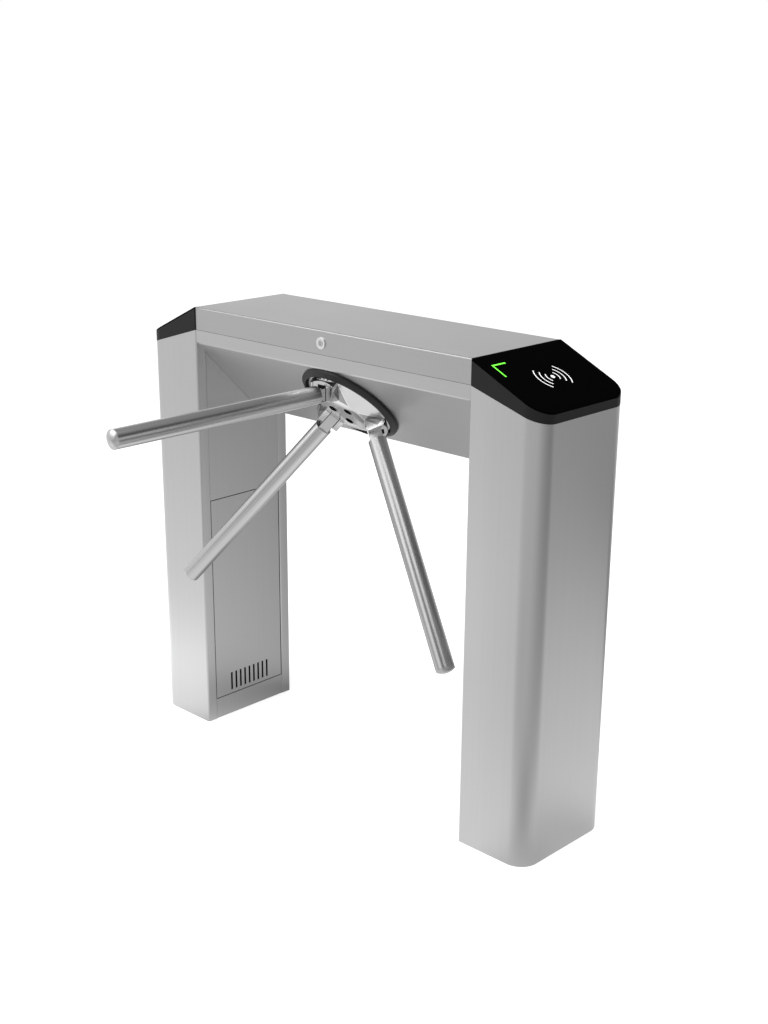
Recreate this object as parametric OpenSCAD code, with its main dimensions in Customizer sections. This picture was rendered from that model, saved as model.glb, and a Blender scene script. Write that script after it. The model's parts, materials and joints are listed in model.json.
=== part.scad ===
// Bridge-type tripod turnstile: two posts, a bridge beam with a hinged lid,
// and a tripod of three arms that turns on a slanted hub under the beam.
// Origin on the floor, midway between the posts. +X along the bridge,
// -Y towards the tripod side, +Z up. Lengths in millimetres.

/* [Cabinet] */
// Clear passage between the two posts, and the length of the lid
passage_l = 788; // [740:2:900]
// Length of one post along the bridge
post_l = 164; // [150:2:200]
// Depth of the posts, the beam and the lid
cabinet_w = 260; // [250:2:290]
// Height of the lid's top above the floor
cabinet_h = 990; // [970:5:1050]
// Height of the lid
lid_h = 50; // [42:1:56]
// Height of the upright band of the beam below the lid
band_h = 28; // [24:1:34]
// Height of the beam from its flat underside to the lid
beam_h = 200; // [196:1:206]
// Radius of a post's outer upright corners
post_corner_r = 40; // [30:1:50]
// Thickness of the folded stainless sheet
sheet_t = 1.5; // [1.2:0.1:2]
// Width of the folded return beside a post's inner panel
return_w = 24.5; // [20:0.5:30]

/* [Service doors] */
// Height of a service door's lower edge above the floor
door_z = 50; // [45:1:70]
// Height of a service door
door_h = 495; // [440:5:520]
// Gap round a service door
door_gap = 0.8; // [0.7:0.1:1]
// Depth of a service door's folded edge
door_flange = 12; // [10:1:13]
// Number of vent slots
vent_count = 9; // [5:2:11]
// Distance between two vent slots
vent_pitch = 14; // [12:1:16]
// Height of a vent slot
vent_h = 44; // [30:1:60]
// Width of a vent slot
vent_w = 5; // [4:0.5:7]
// Distance from a door's lower edge to its vent slots
vent_rise = 11; // [9:1:20]

/* [Caps] */
// How far a cap stands out past its post
cap_over = 2; // [1.5:0.5:3]
// Height of a cap at its low outer end
cap_low_h = 21; // [18:1:26]
// How far a cap's underside falls from the bridge to the outer end
cap_fall = 50; // [40:1:56]
// Wall of a cap
cap_wall = 3; // [2.5:0.5:4]
// Thickness of the glossy reader panel
panel_t = 3; // [2.5:0.5:4]

/* [Tripod] */
// Outer radius of the collar round the hub
collar_r = 113; // [111:1:116]
// Height of the collar over the slanted face
collar_h = 12.5; // [11:0.5:14]
// Radius of the hub's rim
hub_r = 100; // [99:0.5:101]
// Radius of the hub's flat nose
nose_r = 54; // [52:1:56]
// Height of the hub's nose over the slanted face
nose_h = 29; // [28:0.5:30]
// Outer radius of an arm
arm_r = 19; // [18:0.5:19.5]
// Wall of an arm's tube
arm_wall = 1.5; // [1:0.5:2.5]
// Length of an arm's tube
arm_l = 500; // [450:5:510]
// Distance from the hub's centre to the tube, along the arm
arm_start = 98; // [96:1:104]
// Distance from the hub's centre to the arm's pivot pin, along the arm
pin_s = 70; // [69:0.5:71]
// Width of the tongue that joins an arm to the hub
tongue_w = 23; // [21:0.5:24]
// Thickness of the tongue
tongue_t = 27; // [25:0.5:27]
// Width of the fork on the hub
fork_w = 48; // [46:1:52]
// Radius of an arm's pivot pin
pin_r = 4; // [3.5:0.5:4.5]

/* [Mechanism] */
// Radius of the main shaft, which suits its bearings
shaft_r = 15; // [14:0.5:16]
// Outer radius of a main bearing
bearing_r = 27.5; // [26.5:0.5:30]
// Width of a main bearing
bearing_w = 13; // [11:1:14]
// Module of the gears
gear_m = 2; // [2:0.1:2.1]
// Teeth of the main gear
gear_teeth = 60; // [60:1:60]
// Teeth of the motor's pinion
pinion_teeth = 20; // [20:1:20]
// Width of the main gear
gear_w = 10; // [8:1:12]
// Radius of the lock disc
lock_disc_r = 50; // [48:0.5:52]
// Depth of a notch in the lock disc
notch_depth = 6; // [5:0.5:7]

/* [Mounts] */
// Radius of a floor anchor hole
anchor_r = 7; // [5.5:0.5:8]
// Distance between the two anchor holes along a post
anchor_pitch_x = 90; // [80:1:100]
// Distance between the two anchor holes across a post
anchor_pitch_y = 170; // [160:1:180]
// Radius of the cable entry hole in a base plate
cable_entry_r = 25; // [20:1:30]
// Thickness of a base plate
base_t = 8; // [6:1:10]

/* [Hidden] */
$fn = 64;

// One overrun serves all cuts
over = 1;
// Half gap between two fixed neighbours, such as the lid and a cap
seam = 0.5;
// Radial clearance of a running fit
run_gap = 0.05;
// Clearance between two pieces that move past each other
move_gap = 0.5;

// Levels and places of the cabinet
inner_x = passage_l/2;
outer_x = inner_x + post_l;
half_w = cabinet_w/2;
lid_z = cabinet_h - lid_h;
band_z = lid_z - band_h;
beam_z = lid_z - beam_h;
// The slanted face falls at 45 degrees from the band to the flat underside
slope_run = band_z - beam_z;
slope_y = -half_w + slope_run;
face_sum = band_z - half_w;
slant = 45;
half_root = sin(slant);

// The hub's centre lies a little above the middle of the slanted face
hub_up = 5;
hub_y = (slope_y - half_w)/2 - hub_up*half_root;
hub_z = face_sum - hub_y;

// Sheet metal details
lip_w = 18;
end_flange = 20;
panel_half = half_w - return_w;
jamb_d = 20;
post_mid = inner_x + jamb_d + (post_l - jamb_d)/2;
rail_w = 20;
door_top = door_z + door_h;
door_half = panel_half - door_gap;

// A service door's pivot pins
pivot_r = 2;
pivot_depth = 3.5;
pivot_in = 14;
pivot_l = 12;
pivot_x = inner_x + pivot_depth;
pivot_y = door_half - pivot_in;
catch_l = 60;
catch_w = 10;

// Lid hinges, on the back
hinge_count = 3;
hinge_pitch_share = 0.36;
hinge_pitch = passage_l*hinge_pitch_share;
leaf_t = 1.5;
leaf_h = 22;
leaf_l = 60;
knuckle_r = 3.5;
knuckle_gap = 0.3;
hinge_pin_r = 1.8;
hinge_y = half_w + knuckle_r;

// Lid lock, on the front
lock_height_share = 0.48;
lock_z = lid_z + lid_h*lock_height_share;
lock_ring_r = 12;
lock_ring_t = 2.5;
lock_body_r = 9.5;
lock_nut_r = 13;
lock_nut_t = 5;
lock_l = 22;
plug_r = 6.5;
plug_face = 0.6;
key_slot_w = 1.6;
key_slot_l = 8;
key_slot_d = 3;
cam_t = 3;
cam_w = 11;
cam_foot_l = 11;
cam_foot_h = 5;
cam_reach = lock_z - lid_z + sheet_t + move_gap + cam_foot_h;
cam_y = -half_w + sheet_t + lock_l;
cam_notch_share = 0.4;

// Hub, fork and arm
hub_back = 1.5;
hub_edge = 6.5;
rim_gap = 1;
collar_in = hub_r + rim_gap;
collar_side = 5;
collar_lip = 4;
collar_top_r = hub_r + collar_lip;
arm_off = 31.1;
arm_angles = [0, 120, -120];
screw_ring_r = 25;
screw_angles = [60, 180, 300];
screw_head_r = 9.2;
screw_head_d = 6;
screw_r = 5;
screw_gap = 0.2;
screw_socket_r = 4.6;
screw_socket_d = 5;
screw_sink = 3;
tongue_in = 12;
tongue_gap = 0.3;
lug_out = 10;
lug_back_r = 9;
relief_r = norm([tongue_in, tongue_t/2]) + 2*tongue_gap;
flare = 10;
fork_root = 34;
plug_in_l = 32;
end_cap_l = 6;
end_cap_rim = 1;
pin_head = 0.4;

// Mechanism, measured inwards from the slanted face
flange_r = 40;
flange_hole_gap = 2;
flange_back_gap = 4;
plate_d = 16;
plate_t = 6;
flange_t = plate_d - flange_back_gap;
plate_x = [-135, 120];
plate_y = [-72, 66];
stud_r = 4;
stud_places = [[-110, -58], [105, -58], [-110, 52], [105, 52]];
nut_r = 7;
nut_t = 6;
housing_l = 62;
housing_wall = 8;
housing_flange_r = 52;
housing_flange_t = 8;
housing_d = plate_d + plate_t;
race_t = 3.6;
ball_play = 0.3;
ball_r = (bearing_r - shaft_r - 2*race_t)/2 - ball_play;
ball_count = 10;
shoulder_h = 3;
shaft_l = 132;
lock_disc_d = 92;
lock_disc_t = 8;
notch_count = 12;
notch_w = 7;
sensor_disc_d = 106;
sensor_disc_t = 1.5;
sensor_disc_r = 44;
sensor_slot_count = 12;
sensor_ring_share = 0.86;
gear_d = 114;
tooth_gap = 0.25;
root_depth_share = 1.25;
tip_height_share = 0.9;
root_width_share = 0.33;
tip_width_share = 0.13;
gear_centre = gear_m*(gear_teeth + pinion_teeth)/2;
motor_r = 24;
motor_l = 80;
motor_shaft_r = 4;
pawl_post_r = 4;
pawl_eye_r = 9;
pawl_w = 8;
pawl_l = 36;
pawl_lift = 3;
pawl_heel = 12;
tooth_w = 4.4;
nose_angle = 15;
plunger_out = 12;
plunger_r = 4;
plunger_gap = 1.9;
plunger_l = 34;
plunger_free = 8;
solenoid = [36, 20, 20];
sensor_block = [14, 12];
sensor_throat = 4;
sensor_column = 6;

// Equipment inside the left post
tray_back = 22;
tray_x = outer_x - tray_back;
tray_half = 84;
tray_z = [150, 720];
// Heights as shares of the height of the beam's underside
psu_share = 9/37;
control_share = 21/37;
psu = [42, 98, 160];
psu_z = beam_z*psu_share;
control = [46, 120, 190];
control_z = beam_z*control_share;
control_top = control_z + control[2];
harness_r = 4;
harness_gap = 0.3;
// Up the left post: from inner_x, across, and a share of the room from the box to the beam
harness_rise = [
    [118, 20, 0.154], [112, 22, 0.423], [96, 30, 0.708], [74, 44, 0.985],
];
// Round into the beam, measured from inner_x and from the beam's underside
harness_bend = [
    [46, 60, 25], [21, 70, 35], [-9, 74, 35], [-54, 76, 26],
];
// Along the beam and up to the motor, measured from the middle and from the beam's underside
harness_run = [
    [-290, 78, 15], [-230, 80, 10], [-170, 82, 8], [-110, 84, 8], [-60, 86, 8], [-15, 86, 10],
    [22, 82, 17], [50, 72, 33], [68, 57, 57], [77, 43, 82], [80, 31.7, 97.9],
    [80, 22, 107.6], [80, 13.4, 116.2],
];
harness_points = concat(
    [[-inner_x - harness_rise[0][0], harness_rise[0][1], control_top + harness_gap]],
    [for (p = harness_rise) [-inner_x - p[0], p[1], control_top + p[2]*(beam_z - control_top)]],
    [for (p = harness_bend) [-inner_x - p[0], p[1], beam_z + p[2]]],
    [for (p = harness_run) [p[0], p[1], beam_z + p[2]]]);

// A frame on the slanted face, with z out of the face and y up the slope
module hub_frame() {
    translate([0, hub_y, hub_z]) rotate([90 + slant, 0, 0]) children();
}

// A frame on an arm: z along the arm, x across it, -y to its flat face
module arm_frame(k) {
    hub_frame() rotate([0, 0, arm_angles[k]]) rotate([-slant, 0, 0])
        translate([0, arm_off, 0]) children();
}

// Draws a shape made for the right side, mirrored for the left
module side(left) {
    mirror([left ? 1 : 0, 0, 0]) children();
}

// An outline in the X-Z plane, carried through the depth of the cabinet
module through_depth(outline, half) {
    translate([0, half, 0]) rotate([90, 0, 0]) linear_extrude(2*half) polygon(outline);
}

// An outline in the Y-Z plane, carried along X from x0 to x1
module along_x(outline, x0, x1) {
    translate([x0, 0, 0]) rotate([90, 0, 90]) linear_extrude(x1 - x0) polygon(outline);
}

// Plan of a post, with its two outer corners rounded, drawn in by inset
module post_plan(inset, extra = 0) {
    r = post_corner_r + extra - inset;
    x0 = inner_x + inset;
    x1 = outer_x + extra - inset;
    y1 = half_w + extra - inset;
    translate([x0, -y1]) square([x1 - r - x0, 2*y1]);
    translate([x0, r - y1]) square([x1 - x0, 2*(y1 - r)]);
    for (s = [-1, 1]) translate([x1 - r, s*(y1 - r)]) circle(r);
}

// Underside and top of a cap, as heights over the floor at a place along X
cap_run = outer_x + cap_over - inner_x;
cap_top_fall = lid_h + cap_fall - cap_low_h;
function cap_under(x) = lid_z - cap_fall*(x - inner_x)/cap_run;
function cap_top(x) = cabinet_h - cap_top_fall*(x - inner_x)/cap_run;
cap_tilt = atan(cap_top_fall/cap_run);
cap_end = outer_x + cap_over;
tab_w = 40;
tab_drop = 14;
tab_join = 5;

module post_shell(left) {
    color("silver") side(left) intersection() {
        difference() {
            linear_extrude(lid_z) post_plan(0);
            translate([0, 0, -over]) linear_extrude(lid_z + 2*over) post_plan(sheet_t);
            translate([inner_x - over, -panel_half, -over])
                cube([sheet_t + 2*over, 2*panel_half, lid_z + 2*over]);
        }
        through_depth([[inner_x, 0], [outer_x, 0], [outer_x, cap_under(outer_x)],
            [inner_x, lid_z]], half_w);
    }
    // Folded jambs beside the inner panel
    color("silver") side(left) for (s = [0, 1]) mirror([0, s, 0])
        translate([inner_x + sheet_t, panel_half, 0])
            cube([jamb_d - sheet_t, sheet_t, cap_under(inner_x + jamb_d)]);
}

// Rear edge of the panel's rails
rail_x = inner_x + jamb_d;

module inner_panel(left) {
    half = panel_half - seam/2;
    panel_top = cap_under(inner_x + sheet_t);
    color("silver") side(left) difference() {
        union() {
            // Plates below and above the door
            translate([inner_x, -half, 0]) cube([sheet_t, 2*half, door_z]);
            translate([inner_x, -half, door_top]) cube([sheet_t, 2*half, panel_top - door_top]);
            // Folds that carry the door's pivots
            translate([inner_x + sheet_t, -half, door_z - sheet_t])
                cube([jamb_d, 2*half, sheet_t]);
            translate([inner_x + sheet_t, -half, door_top])
                cube([jamb_d, 2*half, sheet_t]);
            // Rails behind the door's edges
            for (s = [0, 1]) mirror([0, s, 0]) translate([rail_x, half - rail_w, 0])
                cube([sheet_t, rail_w, tray_z[1]]);
        }
        // Way through for the cables, behind the beam's end flange
        along_x(beam_window, inner_x - over, inner_x + sheet_t + over);
        for (z = [door_z - sheet_t/2, door_top + sheet_t/2])
            translate([pivot_x, pivot_y, z - sheet_t]) cylinder(r = pivot_r, h = 2*sheet_t);
    }
}

// Corners of the cable window behind the beam's end, in Y and Z
beam_window = [[slope_y, beam_z + end_flange], [panel_half - end_flange, beam_z + end_flange],
    [panel_half - end_flange, lid_z - end_flange], [slope_y, lid_z - end_flange]];

module base_plate(left) {
    upstand = 30;
    color("darkgray") side(left) difference() {
        union() {
            linear_extrude(base_t) post_plan(sheet_t);
            // Upstands that the shell is fixed to
            for (s = [0, 1]) mirror([0, s, 0])
                translate([inner_x + jamb_d, half_w - sheet_t - base_t/2, base_t])
                    cube([post_l - jamb_d - post_corner_r, base_t/2, upstand]);
            translate([outer_x - sheet_t - base_t/2, post_corner_r - half_w, base_t])
                cube([base_t/2, cabinet_w - 2*post_corner_r, upstand]);
        }
        // Room for the inner panel and its jambs
        translate([inner_x, -panel_half - sheet_t, -over])
            cube([jamb_d + 2*sheet_t, 2*(panel_half + sheet_t), base_t + 2*over]);
        for (sx = [-1, 1], sy = [-1, 1])
            translate([post_mid + sx*anchor_pitch_x/2, sy*anchor_pitch_y/2, -over])
                cylinder(r = anchor_r, h = base_t + 2*over);
        translate([post_mid, 0, -over]) cylinder(r = cable_entry_r, h = base_t + 2*over);
    }
}

// One vent slot with round ends, cut through a door
module vent(y) {
    z0 = door_z + vent_rise;
    r = vent_w/2;
    translate([inner_x - over, y - r, z0 + r]) cube([sheet_t + 2*over, vent_w, vent_h - vent_w]);
    for (z = [z0 + r, z0 + vent_h - r]) translate([inner_x - over, y, z])
        rotate([0, 90, 0]) cylinder(r = r, h = sheet_t + 2*over);
}

module service_door(left) {
    z0 = door_z + door_gap;
    z1 = door_top - door_gap;
    color("silver") side(left) difference() {
        union() {
            translate([inner_x, -door_half, z0]) cube([sheet_t, 2*door_half, z1 - z0]);
            // Folded edges, none on the pivot side, which swings inwards
            translate([inner_x + sheet_t, -door_half, z0])
                cube([door_flange - sheet_t, sheet_t, z1 - z0]);
            for (z = [z0, z1 - sheet_t]) translate([inner_x + sheet_t, -door_half, z])
                cube([door_flange - sheet_t, door_half + pivot_y + 2*pivot_r, sheet_t]);
        }
        for (z = [z0, z1 - sheet_t]) translate([pivot_x, pivot_y, z - over])
            cylinder(r = pivot_r + run_gap, h = sheet_t + 2*over);
        for (i = [0 : vent_count - 1]) vent((i - (vent_count - 1)/2)*vent_pitch);
    }
}

module door_pivots() {
    color("dimgray") for (left = [true, false]) side(left)
        for (z = [door_z - sheet_t, door_top + sheet_t - pivot_l])
            translate([pivot_x, pivot_y, z]) cylinder(r = pivot_r, h = pivot_l);
}

module door_catches() {
    depth = rail_x - inner_x - door_flange - seam;
    color("dimgray") for (left = [true, false]) side(left)
        translate([rail_x - depth, -door_half, door_z + (door_h - catch_l)/2])
            cube([depth, catch_w, catch_l]);
}

// Side view of a cap between its underside and its top, lowered and drawn in
function cap_side(drop, x0, x1, low) = [
    [x0, cap_under(x0) - low], [x1, cap_under(x1) - low],
    [x1, cap_top(x1) - drop], [x0, cap_top(x0) - drop]];

module cap(left) {
    top_drop = panel_t/cos(cap_tilt);
    color("#303030") side(left) difference() {
        intersection() {
            linear_extrude(cabinet_h) post_plan(0, cap_over);
            through_depth(cap_side(top_drop, inner_x + seam, cap_end, 0), half_w + cap_over);
        }
        intersection() {
            linear_extrude(cabinet_h) post_plan(cap_wall, cap_over);
            through_depth(cap_side(top_drop + cap_wall, inner_x + cap_wall, cap_end - cap_wall,
                lid_h), half_w + cap_over);
        }
    }
    // Tongues that locate the cap inside the post, joined to its walls
    color("#303030") side(left) for (s = [0, 1]) mirror([0, s, 0]) {
        x0 = inner_x + (post_l - tab_w)/2;
        low = cap_under(x0 + tab_w);
        high = cap_under(x0) + tab_join;
        translate([x0, half_w - sheet_t - cap_wall, low - tab_drop])
            cube([tab_w, cap_wall, high - low + tab_drop]);
        intersection() {
            translate([x0, half_w - 2*cap_wall, low]) cube([tab_w, 2*cap_wall, high - low]);
            through_depth(cap_side(0, x0, x0 + tab_w, 0), half_w + cap_wall);
        }
    }
}

// A frame on a cap's slope: origin at the ridge, x down the slope, z out of it
module slope_frame() {
    translate([inner_x, 0, cabinet_h]) rotate([0, cap_tilt, 0]) children();
}

// Marks on the reader panel, measured from the ridge and the middle
icon_run = 94;
icon_stroke = 2.2;
icon_dot_r = 4.5;
icon_r = 15;
icon_pitch = 12;
icon_radii = [for (i = [0:2]) icon_r + i*icon_pitch];
icon_spread = 44;
mark_depth = 1;
// Room round a mark in its pocket
mark_gap = 0.05;
arrow_run = 29;
arrow_y = -107;
arrow_l = 38;
arrow_stroke = 3.4;

// Board under a reader panel, on its posts
reader_board = [90, 120, 1.6];
reader_post = 3;

// A ring's sector, spreading both ways from the +y direction
module arc(r, stroke, spread) {
    intersection() {
        difference() {
            circle(r + stroke/2);
            circle(r - stroke/2);
        }
        polygon([[0, 0], for (a = [-spread, 0, spread]) 2*r*[sin(a), cos(a)]/cos(spread/2)]);
    }
}

// Plans of the marks, drawn out by gap for their pockets
module icon_plan(gap) {
    circle(icon_dot_r + gap);
    for (r = icon_radii, s = [0, 1]) mirror([0, s, 0])
        arc(r, icon_stroke + 2*gap, icon_spread + atan(gap/r));
}

module arrow_plan(gap) {
    translate([-gap, -gap]) {
        square([arrow_l + 2*gap, arrow_stroke + 2*gap]);
        square([arrow_stroke + 2*gap, arrow_l + 2*gap]);
    }
}

module marks(gap = 0) {
    slope_frame() translate([icon_run, 0, -mark_depth])
        linear_extrude(mark_depth) icon_plan(gap);
}

module arrow_mark(gap = 0) {
    slope_frame() translate([arrow_run, arrow_y, -mark_depth])
        linear_extrude(mark_depth) arrow_plan(gap);
}

module reader_panel(left) {
    drop = panel_t/cos(cap_tilt);
    color("black") side(left) difference() {
        intersection() {
            linear_extrude(cabinet_h) post_plan(0, cap_over);
            through_depth([[inner_x + seam, cap_top(inner_x + seam) - drop],
                [cap_end, cap_top(cap_end) - drop], [cap_end, cap_top(cap_end)],
                [inner_x + seam, cap_top(inner_x + seam)]], half_w + cap_over);
        }
        marks(mark_gap);
        arrow_mark(mark_gap);
    }
}

module arrow_lights() {
    color("limegreen") for (left = [true, false]) side(left) arrow_mark();
}

module reader_icons() {
    color("white") for (left = [true, false]) side(left) marks();
}

module reader_boards() {
    board = reader_board;
    post_place_share = 0.42;
    low = panel_t + cap_wall + reader_post;
    color("darkgreen") for (left = [true, false]) side(left) slope_frame() {
        translate([icon_run - board[0]/2, -board[1]/2, -low - board[2]]) cube(board);
        for (sx = [-1, 1], sy = [-1, 1])
            translate([icon_run + sx*board[0]*post_place_share, sy*board[1]*post_place_share,
                -low]) cylinder(r = reader_post, h = reader_post);
    }
}

// Cross-section of the beam, drawn in by inset from its outer faces
function beam_outline(inset, top) = [
    [-half_w + inset, top], [-half_w + inset, band_z + inset*tan(slant/2)],
    [slope_y + inset*tan(slant/2), beam_z + inset], [half_w - inset, beam_z + inset],
    [half_w - inset, top]];

// Outline of the window inside the beam's end flange
function window_outline(inset, top) = [
    [face_sum + inset/half_root - top, top], [slope_y + inset*tan(slant/2), beam_z + inset],
    [half_w - inset, beam_z + inset], [half_w - inset, top]];

module beam_shell() {
    mouth = half_w - sheet_t - lip_w;
    color("silver") difference() {
        along_x(beam_outline(0, lid_z), -inner_x, inner_x);
        along_x(beam_outline(sheet_t, lid_z - sheet_t), sheet_t - inner_x, inner_x - sheet_t);
        // Mouth between the lips under the lid
        translate([end_flange - inner_x, -mouth, lid_z - 2*sheet_t])
            cube([2*(inner_x - end_flange), 2*mouth, 3*sheet_t]);
        // Windows in the ends, inside their flanges
        for (s = [0, 1]) mirror([s, 0, 0])
            along_x(window_outline(end_flange, lid_z - end_flange), inner_x - 2*sheet_t,
                inner_x + sheet_t);
        hub_frame() translate([0, 0, -over - 2*sheet_t])
            cylinder(r = flange_r + flange_hole_gap, h = 2*(over + 2*sheet_t));
        // Way down for the foot of the lock's cam
        translate([cam_w*cam_notch_share, cam_y - cam_foot_l - move_gap, lid_z - 2*sheet_t])
            cube([cam_reach, lip_w, 3*sheet_t]);
    }
}

module lid() {
    half = inner_x - seam;
    color("gainsboro") difference() {
        translate([-half, -half_w, lid_z]) cube([2*half, cabinet_w, lid_h]);
        translate([sheet_t - half, sheet_t - half_w, lid_z - over])
            cube([2*(half - sheet_t), cabinet_w - 2*sheet_t, lid_h + over - sheet_t]);
        translate([0, -half_w - over, lock_z]) rotate([-90, 0, 0])
            cylinder(r = lock_body_r, h = sheet_t + 2*over);
    }
}

// Places of the lid hinges along X
function hinge_x(i) = (i - (hinge_count - 1)/2)*hinge_pitch;

// Leaf of a hinge with its share of the knuckle: segments lists the outer or the inner fifths
module hinge_leaf(up, segments) {
    part = leaf_l/5;
    difference() {
        union() {
            translate([-leaf_l/2, half_w, up ? lid_z + knuckle_gap : lid_z - leaf_h])
                cube([leaf_l, leaf_t, leaf_h - knuckle_gap]);
            for (i = segments) translate([i*part - leaf_l/2 + knuckle_gap/2, hinge_y, lid_z])
                rotate([0, 90, 0]) cylinder(r = knuckle_r, h = part - knuckle_gap);
        }
        translate([-leaf_l/2 - over, hinge_y, lid_z]) rotate([0, 90, 0])
            cylinder(r = hinge_pin_r + (up ? run_gap : 0), h = leaf_l + 2*over);
        // Room for the other leaf's knuckles
        for (i = [0 : 4]) if (len([for (s = segments) if (s == i) s]) == 0)
            translate([i*part - leaf_l/2 - knuckle_gap/2, hinge_y, lid_z]) rotate([0, 90, 0])
                cylinder(r = knuckle_r + knuckle_gap, h = part + knuckle_gap);
    }
}

module lid_hinge_lower_leaves() {
    color("gray") for (i = [0 : hinge_count - 1]) translate([hinge_x(i), 0, 0])
        hinge_leaf(false, [0, 2, 4]);
}

module lid_hinge_upper_leaves() {
    color("gray") for (i = [0 : hinge_count - 1]) translate([hinge_x(i), 0, 0])
        hinge_leaf(true, [1, 3]);
}

module lid_hinge_pins() {
    color("dimgray") for (i = [0 : hinge_count - 1])
        translate([hinge_x(i) - leaf_l/2, hinge_y, lid_z]) rotate([0, 90, 0])
            cylinder(r = hinge_pin_r, h = leaf_l);
}

// A frame on the lock: z points into the lid from its front face
module lock_frame() {
    translate([0, -half_w, lock_z]) rotate([-90, 0, 0]) children();
}

module lock_body() {
    color("lightgray") lock_frame() difference() {
        union() {
            translate([0, 0, -lock_ring_t]) cylinder(r = lock_ring_r, h = lock_ring_t);
            cylinder(r = lock_body_r, h = lock_l);
            translate([0, 0, sheet_t]) cylinder(r = lock_nut_r, h = lock_nut_t, $fn = 6);
        }
        translate([0, 0, -lock_ring_t - over])
            cylinder(r = plug_r + run_gap, h = lock_l + lock_ring_t + 2*over);
    }
}

module lock_plug() {
    color("gray") lock_frame() difference() {
        translate([0, 0, -lock_ring_t - plug_face])
            cylinder(r = plug_r, h = lock_l + lock_ring_t + plug_face + sheet_t);
        translate([-key_slot_w/2, -key_slot_l/2, -lock_ring_t - plug_face - over])
            cube([key_slot_w, key_slot_l, key_slot_d + over]);
    }
}

module lock_cam() {
    color("gray") lock_frame() translate([0, 0, lock_l + sheet_t]) {
        cylinder(r = cam_w/2 + sheet_t, h = cam_t);
        translate([0, -cam_w/2, 0]) cube([cam_reach, cam_w, cam_t]);
        translate([cam_reach - cam_foot_h, -cam_w/2, -cam_foot_l])
            cube([cam_foot_h, cam_w, cam_foot_l]);
    }
}

module hub_collar() {
    color("#383838") hub_frame() rotate_extrude($fn = 128) polygon([
        [collar_in, 0], [collar_r, 0], [collar_r, collar_side],
        [collar_top_r, collar_h], [collar_in, collar_h]]);
}

// A conical disc with three forks, each of which holds an arm's tongue on a pin
module hub() {
    lug_side = fork_w/2;
    color("lightgray") difference() {
        union() {
            hub_frame() rotate_extrude($fn = 128) polygon([
                [0, hub_back], [hub_r - hub_back, hub_back], [hub_r, 2*hub_back],
                [hub_r, hub_edge], [hub_r - hub_back, hub_edge + hub_back/2],
                [nose_r + hub_back, nose_h - hub_back/2], [nose_r, nose_h], [0, nose_h]]);
            intersection() {
                for (k = [0 : 2]) arm_frame(k) {
                    // Two lugs' block, square on its flat side and round at its back
                    translate([-lug_side, -tongue_t/2, fork_root])
                        cube([fork_w, tongue_t, pin_s - fork_root + lug_out - lug_back_r]);
                    translate([-lug_side, -tongue_t/2, fork_root])
                        cube([fork_w, tongue_t - lug_back_r, pin_s - fork_root + lug_out]);
                    translate([-lug_side, tongue_t/2 - lug_back_r, pin_s + lug_out - lug_back_r])
                        rotate([0, 90, 0]) cylinder(r = lug_back_r, h = fork_w);
                    // Flared root behind the lugs
                    translate([0, 0, fork_root]) linear_extrude(pin_s - fork_root + tongue_in)
                        polygon([[-lug_side, -tongue_t/2], [lug_side, -tongue_t/2],
                            [lug_side + flare, tongue_t], [-lug_side - flare, tongue_t]]);
                }
                // Nothing of a fork reaches under the disc or over the nose's own plane
                hub_frame() translate([0, 0, hub_back]) cylinder(r = hub_r, h = 2*nose_h);
            }
        }
        for (k = [0 : 2]) arm_frame(k) {
            // Slot, round about the pin so that the tongue can turn in it
            translate([-tongue_w/2 - tongue_gap, 0, pin_s]) rotate([0, 90, 0])
                cylinder(r = relief_r, h = tongue_w + 2*tongue_gap);
            translate([-tongue_w/2 - tongue_gap, -relief_r, pin_s])
                cube([tongue_w + 2*tongue_gap, 2*relief_r, 2*lug_out + hub_r/2]);
            // Room in front of the pin for a folded arm's tongue
            translate([-tongue_w/2 - tongue_gap, -relief_r, pin_s - tongue_t/2 - tongue_gap])
                cube([tongue_w + 2*tongue_gap, relief_r, tongue_t]);
            translate([-lug_side - over, 0, pin_s]) rotate([0, 90, 0])
                cylinder(r = pin_r, h = fork_w + 2*over);
        }
        hub_frame() for (a = screw_angles) rotate([0, 0, a]) translate([0, screw_ring_r, 0]) {
            translate([0, 0, -over]) cylinder(r = screw_r + screw_gap, h = nose_h + 2*over);
            translate([0, 0, nose_h - screw_head_d - screw_sink])
                cylinder(r = screw_head_r, h = screw_head_d + screw_sink + over);
        }
    }
}

module hub_screws() {
    seat = nose_h - screw_head_d - screw_sink;
    color("dimgray") hub_frame() for (a = screw_angles) rotate([0, 0, a])
        translate([0, screw_ring_r, 0]) difference() {
            union() {
                translate([0, 0, seat]) cylinder(r = screw_head_r - screw_gap, h = screw_head_d);
                translate([0, 0, -plate_d/2]) cylinder(r = screw_r, h = seat + plate_d/2);
            }
            translate([0, 0, seat + screw_head_d - screw_socket_d])
                cylinder(r = screw_socket_r, h = screw_socket_d + over, $fn = 6);
        }
}

module arm_pins() {
    color("dimgray") for (k = [0 : 2]) arm_frame(k)
        translate([-fork_w/2 + pin_head, 0, pin_s]) rotate([0, 90, 0])
            cylinder(r = pin_r, h = fork_w - 2*pin_head);
}

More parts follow.
